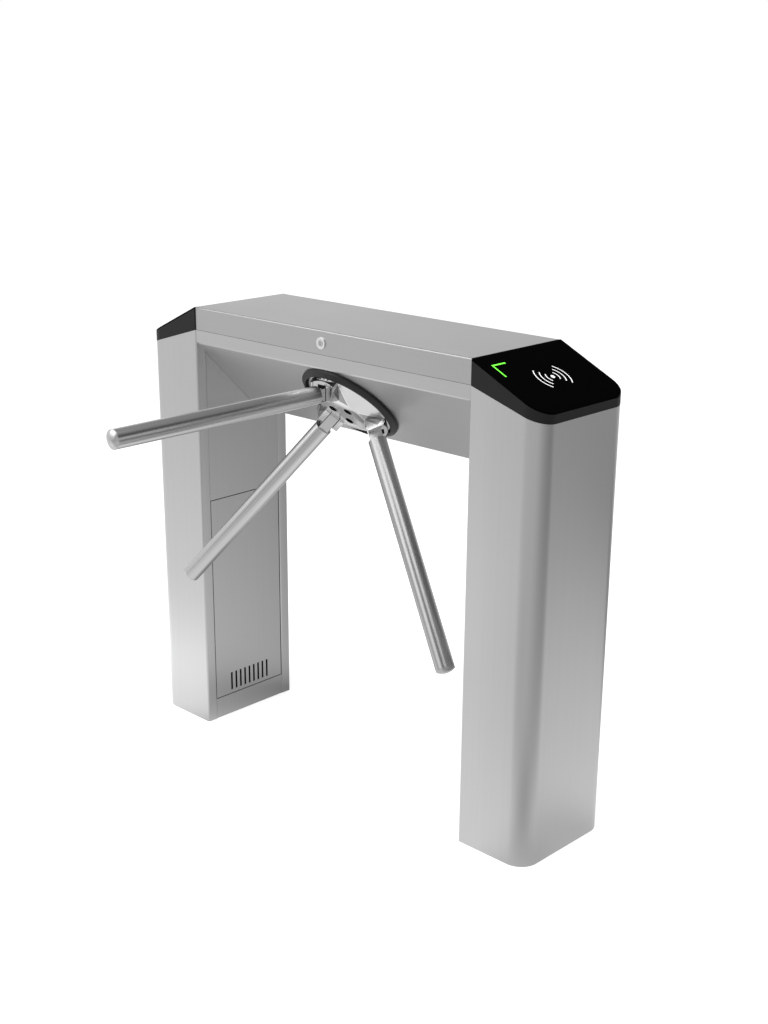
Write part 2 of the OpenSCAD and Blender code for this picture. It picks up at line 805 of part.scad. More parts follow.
module knuckle(k) {
    z0 = pin_s - tongue_in;
    color("lightgray") arm_frame(k) difference() {
        union() {
            translate([-tongue_w/2, -tongue_t/2, z0])
                cube([tongue_w, tongue_t/2, arm_start - z0]);
            translate([-tongue_w/2, 0, pin_s]) cube([tongue_w, tongue_t/2, arm_start - pin_s]);
            // Round back corner, which turns in the slot
            intersection() {
                translate([-tongue_w/2, 0, pin_s]) rotate([0, 90, 0])
                    cylinder(r = tongue_t/2, h = tongue_w);
                translate([-tongue_w/2, 0, z0]) cube([tongue_w, tongue_t/2, tongue_in]);
            }
            translate([0, 0, arm_start]) cylinder(r = arm_r - arm_wall, h = plug_in_l);
        }
        translate([-tongue_w/2 - over, 0, pin_s]) rotate([0, 90, 0])
            cylinder(r = pin_r + run_gap, h = tongue_w + 2*over);
    }
}

module arm_tube(k) {
    color("gainsboro") arm_frame(k) translate([0, 0, arm_start]) difference() {
        cylinder(r = arm_r, h = arm_l);
        translate([0, 0, -over]) cylinder(r = arm_r - arm_wall, h = arm_l + 2*over);
    }
}

module arm_end_cap(k) {
    bulge = (arm_r*arm_r + end_cap_l*end_cap_l)/(2*end_cap_l);
    color("gainsboro") arm_frame(k) translate([0, 0, arm_start + arm_l]) {
        intersection() {
            cylinder(r = arm_r, h = end_cap_l + end_cap_rim);
            translate([0, 0, end_cap_rim + end_cap_l - bulge]) sphere(r = bulge, $fn = 128);
        }
        translate([0, 0, -plug_in_l/2]) cylinder(r = arm_r - arm_wall, h = plug_in_l/2);
    }
}

module main_shaft() {
    color("gray") hub_frame() difference() {
        union() {
            translate([0, 0, hub_back - flange_t]) cylinder(r = flange_r, h = flange_t);
            translate([0, 0, -shaft_l]) cylinder(r = shaft_r, h = shaft_l);
        }
        for (a = screw_angles) rotate([0, 0, a]) translate([0, screw_ring_r, -plate_d])
            cylinder(r = screw_r, h = 2*plate_d);
    }
}

module mechanism_plate() {
    color("slategray") hub_frame() difference() {
        translate([plate_x[0], plate_y[0], -plate_d - plate_t])
            cube([plate_x[1] - plate_x[0], plate_y[1] - plate_y[0], plate_t]);
        translate([0, 0, -plate_d - plate_t - over])
            cylinder(r = bearing_r + housing_wall, h = plate_t + 2*over);
        for (p = stud_places) translate([p[0], p[1], -plate_d - plate_t - over])
            cylinder(r = stud_r, h = plate_t + 2*over);
    }
}

module plate_studs() {
    color("dimgray") hub_frame() for (p = stud_places) translate([p[0], p[1], 0]) {
        translate([0, 0, -plate_d - plate_t - 2*nut_t])
            cylinder(r = stud_r, h = plate_d + plate_t + 2*nut_t - sheet_t);
        translate([0, 0, -plate_d]) cylinder(r = nut_r, h = plate_d - sheet_t);
        translate([0, 0, -plate_d - plate_t - nut_t]) cylinder(r = nut_r, h = nut_t, $fn = 6);
    }
}

// Steps a bearing's place from the housing's outer end inwards
bearing_places = [-housing_d, -housing_d - housing_l + bearing_w];

module bearing_housing() {
    shoulder = bearing_r - shoulder_h;
    color("dimgray") hub_frame() difference() {
        union() {
            translate([0, 0, -housing_d - housing_l])
                cylinder(r = bearing_r + housing_wall, h = housing_l + plate_t);
            translate([0, 0, -housing_d - housing_flange_t])
                cylinder(r = housing_flange_r, h = housing_flange_t);
        }
        translate([0, 0, -housing_d - housing_l - over])
            cylinder(r = shoulder, h = housing_l + plate_t + 2*over);
        translate([0, 0, bearing_places[0] - bearing_w])
            cylinder(r = bearing_r, h = bearing_w + plate_t + over);
        translate([0, 0, -housing_d - housing_l - over]) cylinder(r = bearing_r, h = bearing_w + over);
    }
}

// A flat ring between two radii, from z downwards
module ring(r_out, r_in, z, h) {
    translate([0, 0, z - h]) difference() {
        cylinder(r = r_out, h = h);
        translate([0, 0, -over]) cylinder(r = r_in, h = h + 2*over);
    }
}

module bearing_outer_races() {
    color("silver") hub_frame() for (z = bearing_places)
        ring(bearing_r, bearing_r - race_t, z, bearing_w);
}

module bearing_inner_races() {
    color("silver") hub_frame() for (z = bearing_places) {
        ring(shaft_r + race_t, shaft_r, z, bearing_w);
        // The balls rest on the inner race
        ball_ring = (bearing_r + shaft_r)/2 - ball_play;
        for (i = [0 : ball_count - 1]) rotate([0, 0, 360*i/ball_count])
            translate([ball_ring, 0, z - bearing_w/2]) sphere(r = ball_r, $fn = 24);
    }
}

module lock_disc() {
    color("silver") hub_frame() difference() {
        ring(lock_disc_r, shaft_r, -lock_disc_d, lock_disc_t);
        for (i = [0 : notch_count - 1]) rotate([0, 0, nose_angle + 360*i/notch_count])
            translate([lock_disc_r - notch_depth, -notch_w/2, -lock_disc_d - lock_disc_t - over])
                cube([2*notch_depth, notch_w, lock_disc_t + 2*over]);
    }
}

module sensor_disc() {
    color("black") hub_frame() difference() {
        ring(sensor_disc_r, shaft_r, -sensor_disc_d, sensor_disc_t);
        for (i = [0 : sensor_slot_count - 1]) rotate([0, 0, 360*i/sensor_slot_count])
            translate([0, sensor_disc_r*sensor_ring_share, -sensor_disc_d - 2*sensor_disc_t])
                cylinder(r = 2*sensor_disc_t, h = 3*sensor_disc_t);
    }
}

module position_sensor() {
    mid = -sensor_disc_d - sensor_disc_t/2;
    inner = sensor_disc_r - sensor_block[1]/2;
    foot = housing_flange_r + 2*sensor_disc_t;
    color("#222222") hub_frame() difference() {
        union() {
            translate([-sensor_block[0]/2, inner, mid - sensor_block[1]/2])
                cube([sensor_block[0], foot + sensor_column - inner, sensor_block[1]]);
            translate([-sensor_block[0]/2, foot, mid - sensor_block[1]/2])
                cube([sensor_block[0], sensor_column, sensor_block[1]/2 - mid - housing_d]);
        }
        translate([-sensor_block[0], inner - over, mid - sensor_throat/2])
            cube([2*sensor_block[0], sensor_block[1]/2 + 2*sensor_disc_t, sensor_throat]);
    }
}

// Outline of a spur gear with straight-sided teeth
module gear_plan(teeth, shift) {
    root = gear_m*(teeth/2 - root_depth_share);
    tip = gear_m*(teeth/2 + tip_height_share);
    step = 360/teeth;
    root_half = step*root_width_share - 180/PI*tooth_gap/root;
    tip_half = step*tip_width_share - 180/PI*tooth_gap/tip/2;
    polygon([for (i = [0 : teeth - 1], q = [[root, -root_half], [tip, -tip_half],
        [tip, tip_half], [root, root_half]])
        let (a = step*(i + shift) + q[1]) q[0]*[cos(a), sin(a)]]);
}

module main_gear() {
    color("silver") hub_frame() translate([0, 0, -gear_d - gear_w]) difference() {
        linear_extrude(gear_w) gear_plan(gear_teeth, 0);
        translate([0, 0, -over]) cylinder(r = shaft_r, h = gear_w + 2*over);
    }
}

module motor_pinion() {
    color("silver") hub_frame() translate([gear_centre, 0, -gear_d - gear_w]) difference() {
        linear_extrude(gear_w) gear_plan(pinion_teeth, 0.5);
        translate([0, 0, -over]) cylinder(r = motor_shaft_r + run_gap, h = gear_w + 2*over);
    }
}

module gear_motor() {
    color("#2b2b2b") hub_frame() translate([gear_centre, 0, 0]) {
        translate([0, 0, -housing_d - motor_l]) cylinder(r = motor_r, h = motor_l);
        translate([0, 0, -gear_d - gear_w]) cylinder(r = motor_shaft_r, h = gear_w + motor_l/2);
    }
}

// A frame in the plane of the lock disc: x points outwards through a pawl's tooth,
// and the pawl lies on the -y side. s is 1 for the upper pawl and -1 for the lower one
module pawl_frame(s) {
    hub_frame() mirror([0, s < 0 ? 1 : 0, 0]) rotate([0, 0, 180 - nose_angle])
        translate([0, 0, -lock_disc_d - lock_disc_t]) children();
}

// A straight bar between two points of a plane
module bar(a, b, w) {
    translate(a) rotate(atan2(b[1] - a[1], b[0] - a[0])) translate([0, -w/2])
        square([norm(b - a), w]);
}

module pawl_posts() {
    full = lock_disc_d + lock_disc_t;
    color("dimgray") for (s = [-1, 1]) pawl_frame(s) translate([lock_disc_r, -pawl_l, 0]) {
        translate([0, 0, -pawl_post_r])
            cylinder(r = pawl_post_r, h = full + pawl_post_r - housing_d);
        translate([0, 0, lock_disc_t + knuckle_gap])
            cylinder(r = pawl_eye_r, h = full - lock_disc_t - knuckle_gap - housing_d);
    }
}

// A pawl's tooth hangs just clear of the lock disc's rim
module pawl(s) {
    eye = [lock_disc_r, -pawl_l];
    heel = [lock_disc_r + pawl_heel, 0];
    color("gold") pawl_frame(s) linear_extrude(lock_disc_t) difference() {
        union() {
            translate(eye) circle(pawl_eye_r);
            bar(eye, heel, pawl_w);
            translate([lock_disc_r + pawl_lift, -tooth_w/2])
                square([pawl_heel - pawl_lift + pawl_w/4, tooth_w]);
        }
        translate(eye) circle(pawl_post_r + run_gap);
    }
}

// Where the arm of a pawl meets its plunger
plunger_x = lock_disc_r + pawl_heel*(1 - plunger_out/pawl_l) + pawl_w/2 + plunger_gap;

module plunger(s) {
    color("silver") pawl_frame(s) translate([plunger_x, -plunger_out, lock_disc_t/2])
        rotate([0, 90, 0]) cylinder(r = plunger_r, h = plunger_l);
}

module solenoids() {
    x0 = plunger_x + plunger_free;
    leg = lock_disc_d + lock_disc_t/2 - solenoid[2]/2 - housing_d;
    color("#333333") for (s = [-1, 1]) pawl_frame(s) difference() {
        union() {
            translate([x0, -plunger_out - solenoid[1]/2, (lock_disc_t - solenoid[2])/2])
                cube(solenoid);
            translate([x0, -plunger_out - solenoid[1]/4, (lock_disc_t + solenoid[2])/2])
                cube([solenoid[0], solenoid[1]/2, leg]);
        }
        translate([x0 - over, -plunger_out, lock_disc_t/2]) rotate([0, 90, 0])
            cylinder(r = plunger_r + run_gap, h = solenoid[0] + 2*over);
    }
}

module equipment_tray() {
    depth = outer_x - sheet_t - tray_x;
    color("gray") side(true) translate([tray_x, 0, tray_z[0]]) {
        translate([0, -tray_half, 0]) cube([sheet_t, 2*tray_half, tray_z[1] - tray_z[0]]);
        for (s = [0, 1]) mirror([0, s, 0]) translate([sheet_t, tray_half - sheet_t, 0])
            cube([depth - sheet_t, sheet_t, tray_z[1] - tray_z[0]]);
    }
}

module power_supply() {
    color("lightgray") side(true) translate([tray_x - psu[0], -psu[1]/2, psu_z]) cube(psu);
}

module control_box() {
    color("#44494d") side(true) translate([tray_x - control[0], -control[1]/2, control_z])
        cube(control);
}

// Direction of travel at a point of a route
function heading(p, i) = let (a = p[max(i - 1, 0)], b = p[min(i + 1, len(p) - 1)])
    (b - a)/norm(b - a);

// A round tube swept along a route of points
module swept_tube(p, r, sides) {
    n = len(p);
    ups = [for (i = [0 : n - 1]) let (d = heading(p, i), s = cross(d, [0, 1, 0.01])) s/norm(s)];
    points = [for (i = [0 : n - 1], j = [0 : sides - 1])
        let (d = heading(p, i), u = ups[i], v = cross(d, u), a = 360*j/sides)
            p[i] + r*(cos(a)*u + sin(a)*v)];
    walls = [for (i = [0 : n - 2], j = [0 : sides - 1])
        let (a = i*sides + j, b = i*sides + (j + 1)%sides, c = b + sides, d = a + sides)
            each [[a, c, b], [a, d, c]]];
    ends = [for (j = [1 : sides - 2]) each [[0, j, j + 1],
        [(n - 1)*sides, (n - 1)*sides + j + 1, (n - 1)*sides + j]]];
    polyhedron(points, concat(walls, ends));
}

module cable_harness() {
    color("#202020") swept_tube(harness_points, harness_r, 8);
}

post_shell(true);  // left_post_shell
post_shell(false);  // right_post_shell
inner_panel(true);  // left_inner_panel
inner_panel(false);  // right_inner_panel
base_plate(true);  // left_base_plate
base_plate(false);  // right_base_plate
service_door(true);  // left_service_door
service_door(false);  // right_service_door
door_pivots();
door_catches();
cap(true);  // left_cap
cap(false);  // right_cap
reader_panel(true);  // left_reader_panel
reader_panel(false);  // right_reader_panel
reader_boards();
arrow_lights();
reader_icons();
beam_shell();
lid();
lid_hinge_lower_leaves();
lid_hinge_upper_leaves();
lid_hinge_pins();
lock_body();
lock_plug();
lock_cam();
hub_collar();
hub();
hub_screws();
arm_pins();
main_shaft();
mechanism_plate();
plate_studs();
bearing_housing();
bearing_outer_races();
bearing_inner_races();
lock_disc();
sensor_disc();
position_sensor();
main_gear();
motor_pinion();
gear_motor();
pawl_posts();
pawl(1);  // upper_pawl
pawl(-1);  // lower_pawl
plunger(1);  // upper_plunger
plunger(-1);  // lower_plunger
solenoids();
equipment_tray();
power_supply();
control_box();
cable_harness();
arm_tube(0);  // arm_1_tube
arm_tube(1);  // arm_2_tube
arm_tube(2);  // arm_3_tube
knuckle(0);  // arm_1_knuckle
knuckle(1);  // arm_2_knuckle
knuckle(2);  // arm_3_knuckle
arm_end_cap(0);  // arm_1_end_cap
arm_end_cap(1);  // arm_2_end_cap
arm_end_cap(2);  // arm_3_end_cap
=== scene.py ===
# %% [markdown]
# # A tripod turnstile in satin stainless steel
#
# Two posts carry a bridge beam, and a hub with three arms turns on the beam's slanted face. The
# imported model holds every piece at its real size. This lesson dresses it: sheet metal gets its
# bend radii, castings and mouldings get soft edges, and each material gets its own finish.
#
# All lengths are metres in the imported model's own frame: X runs along the bridge, the arms point
# to -Y, Z is up, and the floor is Z = 0.

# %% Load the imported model
import json
import math

import bmesh
import bpy
import numpy as np
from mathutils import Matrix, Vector


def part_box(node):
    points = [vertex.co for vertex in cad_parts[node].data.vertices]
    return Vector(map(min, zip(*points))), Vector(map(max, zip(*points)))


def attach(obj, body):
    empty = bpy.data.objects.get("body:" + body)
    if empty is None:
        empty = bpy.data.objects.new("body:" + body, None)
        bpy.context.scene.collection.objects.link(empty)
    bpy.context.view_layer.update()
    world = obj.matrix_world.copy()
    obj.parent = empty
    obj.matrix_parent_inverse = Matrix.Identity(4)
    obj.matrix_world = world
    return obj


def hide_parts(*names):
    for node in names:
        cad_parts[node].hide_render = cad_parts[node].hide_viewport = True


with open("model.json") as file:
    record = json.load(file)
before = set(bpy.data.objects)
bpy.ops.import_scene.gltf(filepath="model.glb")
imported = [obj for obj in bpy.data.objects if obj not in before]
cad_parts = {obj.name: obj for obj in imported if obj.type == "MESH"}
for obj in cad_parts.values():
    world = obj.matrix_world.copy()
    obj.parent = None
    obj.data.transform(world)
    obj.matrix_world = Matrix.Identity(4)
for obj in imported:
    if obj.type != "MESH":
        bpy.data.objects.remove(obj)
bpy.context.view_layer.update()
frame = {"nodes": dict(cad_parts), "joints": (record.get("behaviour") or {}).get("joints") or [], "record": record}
joints = {joint["name"]: joint for joint in frame["joints"]}
print("nodes:", len(frame["nodes"]), "joints:", len(joints))

# %% [markdown]
# ## Sizes that the looks share
#
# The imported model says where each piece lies, so most places are read from its boxes. Only what
# a box can't say, such as a bend radius or the slope of a cap, is written here as a real size.

# %% Shared sizes
MM = 0.001
SHEET = 1.5 * MM
BEND = 2.5 * MM
lid_low, lid_high = (np.array(corner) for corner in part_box("lid"))
post_low, post_high = (np.array(corner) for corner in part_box("right_post_shell"))
beam_low, beam_high = (np.array(corner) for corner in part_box("beam_shell"))
HALF_WIDTH = post_high[1]
INNER_X = post_low[0]
OUTER_X = post_high[0]
LID_Z = beam_high[2]
HUB_CENTRE = np.array(joints["tripod_spin"]["pos_m"])
HUB_OUT = np.array(joints["tripod_spin"]["axis"])
print("posts from", INNER_X, "to", OUTER_X, "lid at", LID_Z)

# %% [markdown]
# ## The camera
#
# The photograph's vertical edges, the edges along the bridge and the edges across it give three
# vanishing points. They fix the focal length, the middle of the lens and the direction of view,
# and the height of a post fixes the distance. A longer lens further away would flatten the posts'
# convergence, so the fitted values are kept as they are.

# %% Make the camera
PHOTO_WIDTH, PHOTO_HEIGHT = 768, 1024
FOCAL_PIXELS = 1464.93
LENS_CENTRE = (350.26, 550.28)
SENSOR = 36.0
VIEW_AZIMUTH = math.radians(45.025)
VIEW_ELEVATION = math.radians(18.895)
CAMERA_PLACE = Vector((2.0912, -2.1373, 1.5194))

camera_data = bpy.data.cameras.new("photo_camera")
camera = bpy.data.objects.new("photo_camera", camera_data)
bpy.context.scene.collection.objects.link(camera)
camera_data.sensor_width = SENSOR
camera_data.lens = FOCAL_PIXELS / PHOTO_HEIGHT * SENSOR
camera_data.shift_x = (PHOTO_WIDTH / 2 - LENS_CENTRE[0]) / PHOTO_HEIGHT
camera_data.shift_y = (LENS_CENTRE[1] - PHOTO_HEIGHT / 2) / PHOTO_HEIGHT
back = Vector((
    math.sin(VIEW_AZIMUTH) * math.cos(VIEW_ELEVATION),
    -math.cos(VIEW_AZIMUTH) * math.cos(VIEW_ELEVATION),
    math.sin(VIEW_ELEVATION),
))
camera.location = CAMERA_PLACE
camera.rotation_mode = "QUATERNION"
camera.rotation_quaternion = (-back).to_track_quat("-Z", "Y")
bpy.context.scene.camera = camera
bpy.context.scene.view_settings.view_transform = "Standard"
print("lens", round(camera_data.lens, 2), "mm")

# %% [markdown]
# ## Writing shader maths as Python
#
# A procedural finish is a formula on the surface's place. Wiring it by hand hides the formula in
# a web of nodes, so a small class wraps a socket and turns +, -, * and / into Math nodes. Every
# other node comes from one method, which sets the node's own choices first and then its sockets.

# %% A socket that can be added and multiplied
SOFT_STEP = 0.15 * MM


class Wire:
    """One output of a node. Arithmetic on it adds Math nodes to the same finish."""

    def __init__(self, finish, socket):
        self.finish = finish
        self.socket = socket

    def _math(self, operation, first, second):
        return self.finish.node("ShaderNodeMath", {"operation": operation}, {0: first, 1: second})

    def __add__(self, other):
        return self._math("ADD", self, other)

    def __radd__(self, other):
        return self._math("ADD", other, self)

    def __sub__(self, other):
        return self._math("SUBTRACT", self, other)

    def __rsub__(self, other):
        return self._math("SUBTRACT", other, self)

    def __mul__(self, other):
        return self._math("MULTIPLY", self, other)

    def __rmul__(self, other):
        return self._math("MULTIPLY", other, self)

    def __truediv__(self, other):
        return self._math("DIVIDE", self, other)

    def size(self):
        """The value without its sign."""
        return self.finish.node("ShaderNodeMath", {"operation": "ABSOLUTE"}, {0: self})

    def larger(self, other):
        """The larger of two values."""
        return self._math("MAXIMUM", self, other)

    def wave(self, half_period):
        """A zigzag: the distance to the nearest whole period."""
        return self._math("PINGPONG", self, half_period)

    def above(self, level, soft=SOFT_STEP):
        """1 where the value is above level, 0 below, with a soft step between."""
        return ((self - level) / soft + 0.5).clamp()

    def below(self, level, soft=SOFT_STEP):
        """1 where the value is below level, 0 above, with the same soft step."""
        return ((level - self) / soft + 0.5).clamp()

    def clamp(self):
        """The value kept between 0 and 1."""
        return self.finish.node(
            "ShaderNodeClamp", {}, {"Value": self, "Min": 0.0, "Max": 1.0})


print("a mask's soft step is", SOFT_STEP / MM, "mm wide")


# %% A finish: a node tree with short ways to its usual parts
# A Mix node has sockets for every kind of value. These are its colours and its colour output.
MIX_FIRST, MIX_SECOND, MIX_COLOUR = 6, 7, 2


class Finish:
    """Builds one node tree, of a material or of the world."""

    def __init__(self, owner):
        self.owner = owner
        owner.use_nodes = True
        self.tree = owner.node_tree
        self.tree.nodes.clear()

    def node(self, kind, settings=None, sockets=None, output=0):
        """Adds a node. settings are its own choices, sockets the values or wires it takes."""
        made = self.tree.nodes.new(kind)
        for name, value in (settings or {}).items():
            setattr(made, name, value)
        for name, value in (sockets or {}).items():
            if isinstance(value, Wire):
                self.tree.links.new(value.socket, made.inputs[name])
            else:
                made.inputs[name].default_value = value
        return Wire(self, made.outputs[output]) if len(made.outputs) else None

    def place(self, turn=(0.0, 0.0, 0.0), scale=(1.0, 1.0, 1.0)):
        """Object coordinates, turned and then scaled, so that a pattern can run along a piece."""
        where = self.node("ShaderNodeTexCoord", output="Object")
        turned = self.node(
            "ShaderNodeMapping", {"vector_type": "TEXTURE"}, {"Vector": where, "Rotation": turn})
        return self.node(
            "ShaderNodeVectorMath", {"operation": "MULTIPLY"}, {0: turned, 1: scale})

    def axes(self, where):
        """The three numbers of a place."""
        return [self.node("ShaderNodeSeparateXYZ", {}, {"Vector": where}, output=name)
                for name in "XYZ"]

    def offset(self, centre):
        """The vector from centre to the place on the piece."""
        where = self.node("ShaderNodeTexCoord", output="Object")
        return self.node(
            "ShaderNodeVectorMath", {"operation": "SUBTRACT"}, {0: where, 1: tuple(centre)})

    def from_axis(self, centre, way):
        """Distance from the line through centre along way: the length of a cross product."""
        cross = self.node(
            "ShaderNodeVectorMath", {"operation": "CROSS_PRODUCT"},
            {0: self.offset(centre), 1: tuple(way)})
        return self.node(
            "ShaderNodeVectorMath", {"operation": "LENGTH"}, {0: cross}, output="Value")

    def reach(self, centre, way):
        """Distance from centre along way: a dot product."""
        return self.node(
            "ShaderNodeVectorMath", {"operation": "DOT_PRODUCT"},
            {0: self.offset(centre), 1: tuple(way)}, output="Value")

    def noise(self, where, detail=3.0, roughness=0.5):
        """Cloudy noise from 0 to 1, one cloud a unit of the place."""
        return self.node(
            "ShaderNodeTexNoise", {},
            {"Vector": where, "Scale": 1.0, "Detail": detail, "Roughness": roughness})

    def clouds(self, per_metre, detail=3.0, roughness=0.5):
        """Noise that is the same in all directions, with that many clouds a metre."""
        return self.noise(self.place(scale=(per_metre,) * 3), detail, roughness)

    def mix(self, share, first, second):
        """Colour between first and second, by share."""
        return self.node(
            "ShaderNodeMix", {"data_type": "RGBA"},
            {"Factor": share, MIX_FIRST: first, MIX_SECOND: second}, output=MIX_COLOUR)

    def ray_kinds(self):
        """Three masks: 1 for what the camera sees itself, in a reflection, and through glass."""
        return [self.node("ShaderNodeLightPath", output=kind)
                for kind in ("Is Camera Ray", "Is Glossy Ray", "Is Transmission Ray")]

    def bump(self, height, strength, distance):
        """A normal tilted by the height, which stands for distance metres at full strength."""
        return self.node(
            "ShaderNodeBump", {}, {"Height": height, "Strength": strength, "Distance": distance})

    def surface(self, **sockets):
        """Ends the tree in a Principled shader. Underscores stand for spaces in a socket's name."""
        named = {name.replace("_", " "): value for name, value in sockets.items()}
        shader = self.node("ShaderNodeBsdfPrincipled", {}, named)
        self.node("ShaderNodeOutputMaterial", {}, {"Surface": shader})
        return self.owner


def new_finish(name):
    """The node tree of a new material."""
    return Finish(bpy.data.materials.new(name))


def grey(level, tint=(1.0, 1.0, 1.0)):
    """A grey of the given level, with a slight tint."""
    return (level * tint[0], level * tint[1], level * tint[2], 1.0)


print("a dark grey is", grey(0.1))

# %% [markdown]
# ## Satin stainless sheet
#
# The cabinet's sheets are ground with a belt, which leaves hairlines along the sheet. Each line
# is far thinner than a pixel, but together they spread the light and leave faint broader streaks.
# Two stretched noises do both: a fine one for the hairlines' roughness and bump, and a broad one
# for the streaks' shade. An image would blur close up, and a real groove per line would cost
# millions of faces.

# %% Satin sheet
COOL = (0.996, 0.998, 1.0)
HAIRLINE = (5.0, 1400.0, 1400.0)
STREAK = (1.2, 170.0, 170.0)
STREAK_DEPTH = 0.035
SATIN_ROUGH = 0.36
FINE_DEPTH = 0.05 * MM
JOINT_SHADE_AND_DIRT = 0.03


def satin_sheet(name, level, along, joint=None):
    """Stainless sheet with hairlines along x or z. level is its grey.

    joint takes the finish and the place (x, y, z) and gives 1 where a joint gets painted shade and dirt.
    """
    finish = new_finish(name)
    turn = {"x": (0.0, 0.0, 0.0), "z": (0.0, math.radians(90), 0.0)}[along]
    fine = finish.noise(finish.place(turn, HAIRLINE), detail=2.0)
    broad = finish.noise(finish.place(turn, STREAK), detail=3.0)
    cloud = finish.clouds(3.0, detail=2.0)
    share = (broad * 0.7 + cloud * 0.3).clamp()
    colour = finish.mix(
        share, grey(level * (1 - STREAK_DEPTH), COOL), grey(level * (1 + STREAK_DEPTH), COOL))
    if joint is not None:
        # Painted shade and dirt: a near-black line along each joint, wider than the real gap, which also darkens
        # the lid's and the beam's end faces.
        colour = finish.mix(joint(*finish.axes(finish.place())), colour, grey(JOINT_SHADE_AND_DIRT))
    return finish.surface(
        Base_Color=colour, Metallic=1.0,
        Roughness=SATIN_ROUGH + 0.08 * (fine - 0.5) + 0.08 * (cloud - 0.5),
        Normal=finish.bump(fine, 0.10, FINE_DEPTH))


print("hairlines across the grain:", HAIRLINE[1], "a metre")

# %% Where shade and dirt are painted in the joints
JOINT = 0.7 * MM
DOOR_JOINT = 1.2 * MM
panel_high = np.array(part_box("right_inner_panel")[1])
door_low, door_high = (np.array(corner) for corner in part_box("right_service_door"))


def end_joint(x, y, z):
    """Where the beam's ends meet the posts."""
    return x.size().above(beam_high[0] - JOINT)


def lid_joint(x, y, z):
    """Where the lid's ends meet the caps and its lower edge meets the beam."""
    return x.size().above(lid_high[0] - JOINT).larger(z.below(lid_low[2] + JOINT))


def panel_joint(x, y, z):
    """The long edges of an inner panel."""
    return y.size().above(panel_high[1] - JOINT)


print("joint lines are", JOINT / MM, "and", DOOR_JOINT / MM, "mm wide")

# %% The vents of a door, and its joint
VENT_PITCH = 14 * MM
VENT_HALF = 2.5 * MM
VENT_LOW, VENT_HIGH = 61 * MM, 105 * MM
VENT_END = 4 * VENT_PITCH + VENT_HALF
VENT_MARGIN = 0.2 * MM


def door_joint(x, y, z):
    """The four edges of a service door, and the cut walls of its slots.

    A slot's wall is less than half a slot from the nearest multiple of the pitch. The line of the
    rear edge is twice as wide as the others, as on the real door.
    """
    top = z.above(door_high[2] - DOOR_JOINT)
    foot = z.below(door_low[2] + DOOR_JOINT)
    edges = y.size().above(door_high[1] - DOOR_JOINT).larger(top).larger(foot)
    edges = edges.larger(y.above(door_high[1] - 2 * DOOR_JOINT))
    # The cut walls of the slots get painted shade.
    slots = y.size().wave(VENT_PITCH / 2).below(VENT_HALF + VENT_MARGIN)
    row = y.size().below(VENT_END + VENT_MARGIN)
    height = z.above(VENT_LOW - VENT_MARGIN) * z.below(VENT_HIGH + VENT_MARGIN)
    return edges.larger(slots * row * height)


print("a door has", 1 + round(2 * (VENT_END - VENT_HALF) / VENT_PITCH), "slots")

# %% The five sheets
# The five sheets are one steel. Their greys are set apart as painted light and shade on each piece, darkest on the
# lid.
sheet_post = satin_sheet("satin_post_sheet", 0.58, "z")
sheet_panel = satin_sheet("satin_panel_sheet", 0.56, "z", panel_joint)
sheet_door = satin_sheet("satin_door_sheet", 0.56, "z", door_joint)
sheet_beam = satin_sheet("satin_beam_sheet", 0.56, "x", end_joint)
sheet_lid = satin_sheet("satin_lid_sheet", 0.50, "x", lid_joint)
print("satin sheets made")

# %% [markdown]
# ## The polished arms
#
# The arms are drawn stainless tube, polished along their length. The polish leaves long bands that
# reflect a little more or less, so the bands have to run along each arm, whichever way it points.
# The pattern is therefore turned with the arm: its first axis lies along the tube.

# %% Arm directions
ARM_TURNS = (0.0, 120.0, -120.0)


def turned(vector, axis, degrees):
    """The vector turned about an axis by the right-hand rule: Rodrigues' formula."""
    angle = math.radians(degrees)
    vector, axis = np.asarray(vector, float), np.asarray(axis, float)
    return (vector * math.cos(angle) + np.cross(axis, vector) * math.sin(angle)
            + axis * np.dot(axis, vector) * (1 - math.cos(angle)))


ARM_WAYS = [turned((0.0, -1.0, 0.0), HUB_OUT, turn) for turn in ARM_TURNS]
for number, way in enumerate(ARM_WAYS, 1):
    print("arm", number, "points to", np.round(way, 3))


# %% Polished tube
BAND = (0.9, 150.0, 150.0)
BAND_START, BAND_GAIN = 0.3, 2.4
DARK_BAND, LIGHT_BAND = 0.86, 1.12
POLISH_LINE = (6.0, 1500.0, 1500.0)


def polished_tube(name, way, level):
    """Polished tube with bands along the direction way. level is its mean grey."""
    finish = new_finish(name)
    turn = Vector(way).to_track_quat("X", "Z").to_euler()
    fine = finish.noise(finish.place(turn, POLISH_LINE), detail=2.0)
    band = finish.noise(finish.place(turn, BAND), detail=3.0, roughness=0.6)
    share = ((band - BAND_START) * BAND_GAIN).clamp()
    colour = finish.mix(share, grey(DARK_BAND * level, COOL), grey(LIGHT_BAND * level, COOL))
    return finish.surface(
        Base_Color=colour, Metallic=1.0, Roughness=0.20 + 0.12 * share + 0.06 * (fine - 0.5),
        Normal=finish.bump(fine, 0.10, FINE_DEPTH))


# The three arms are one tube. Their greys differ only as painted light and shade, darkest on arm 3.
ARM_SHADE_LEVELS = (0.59, 0.57, 0.42)
arm_finishes = [
    polished_tube(f"polished_arm_{number}", way, level)
    for number, (way, level) in enumerate(zip(ARM_WAYS, ARM_SHADE_LEVELS), 1)]
print("arm finishes:", len(arm_finishes))

# %% [markdown]
# ## Polished castings
#
# The hub is a polished casting: bright, with slight waves left by the wheel. The flanks beside the
# forks get painted shade, with a painted highlight on a ridge round them, and the rim behind the
# collar and the screws' holes get nearly black painted shade. These marks are masks worked out from
# the hub's own axis and the arms' directions, so they turn with the hub.

# %% Where the hub's screws are
SCREW_RING = 25 * MM
SCREW_TURNS = (60.0, 180.0, 300.0)
COUNTERBORE = 9.2 * MM


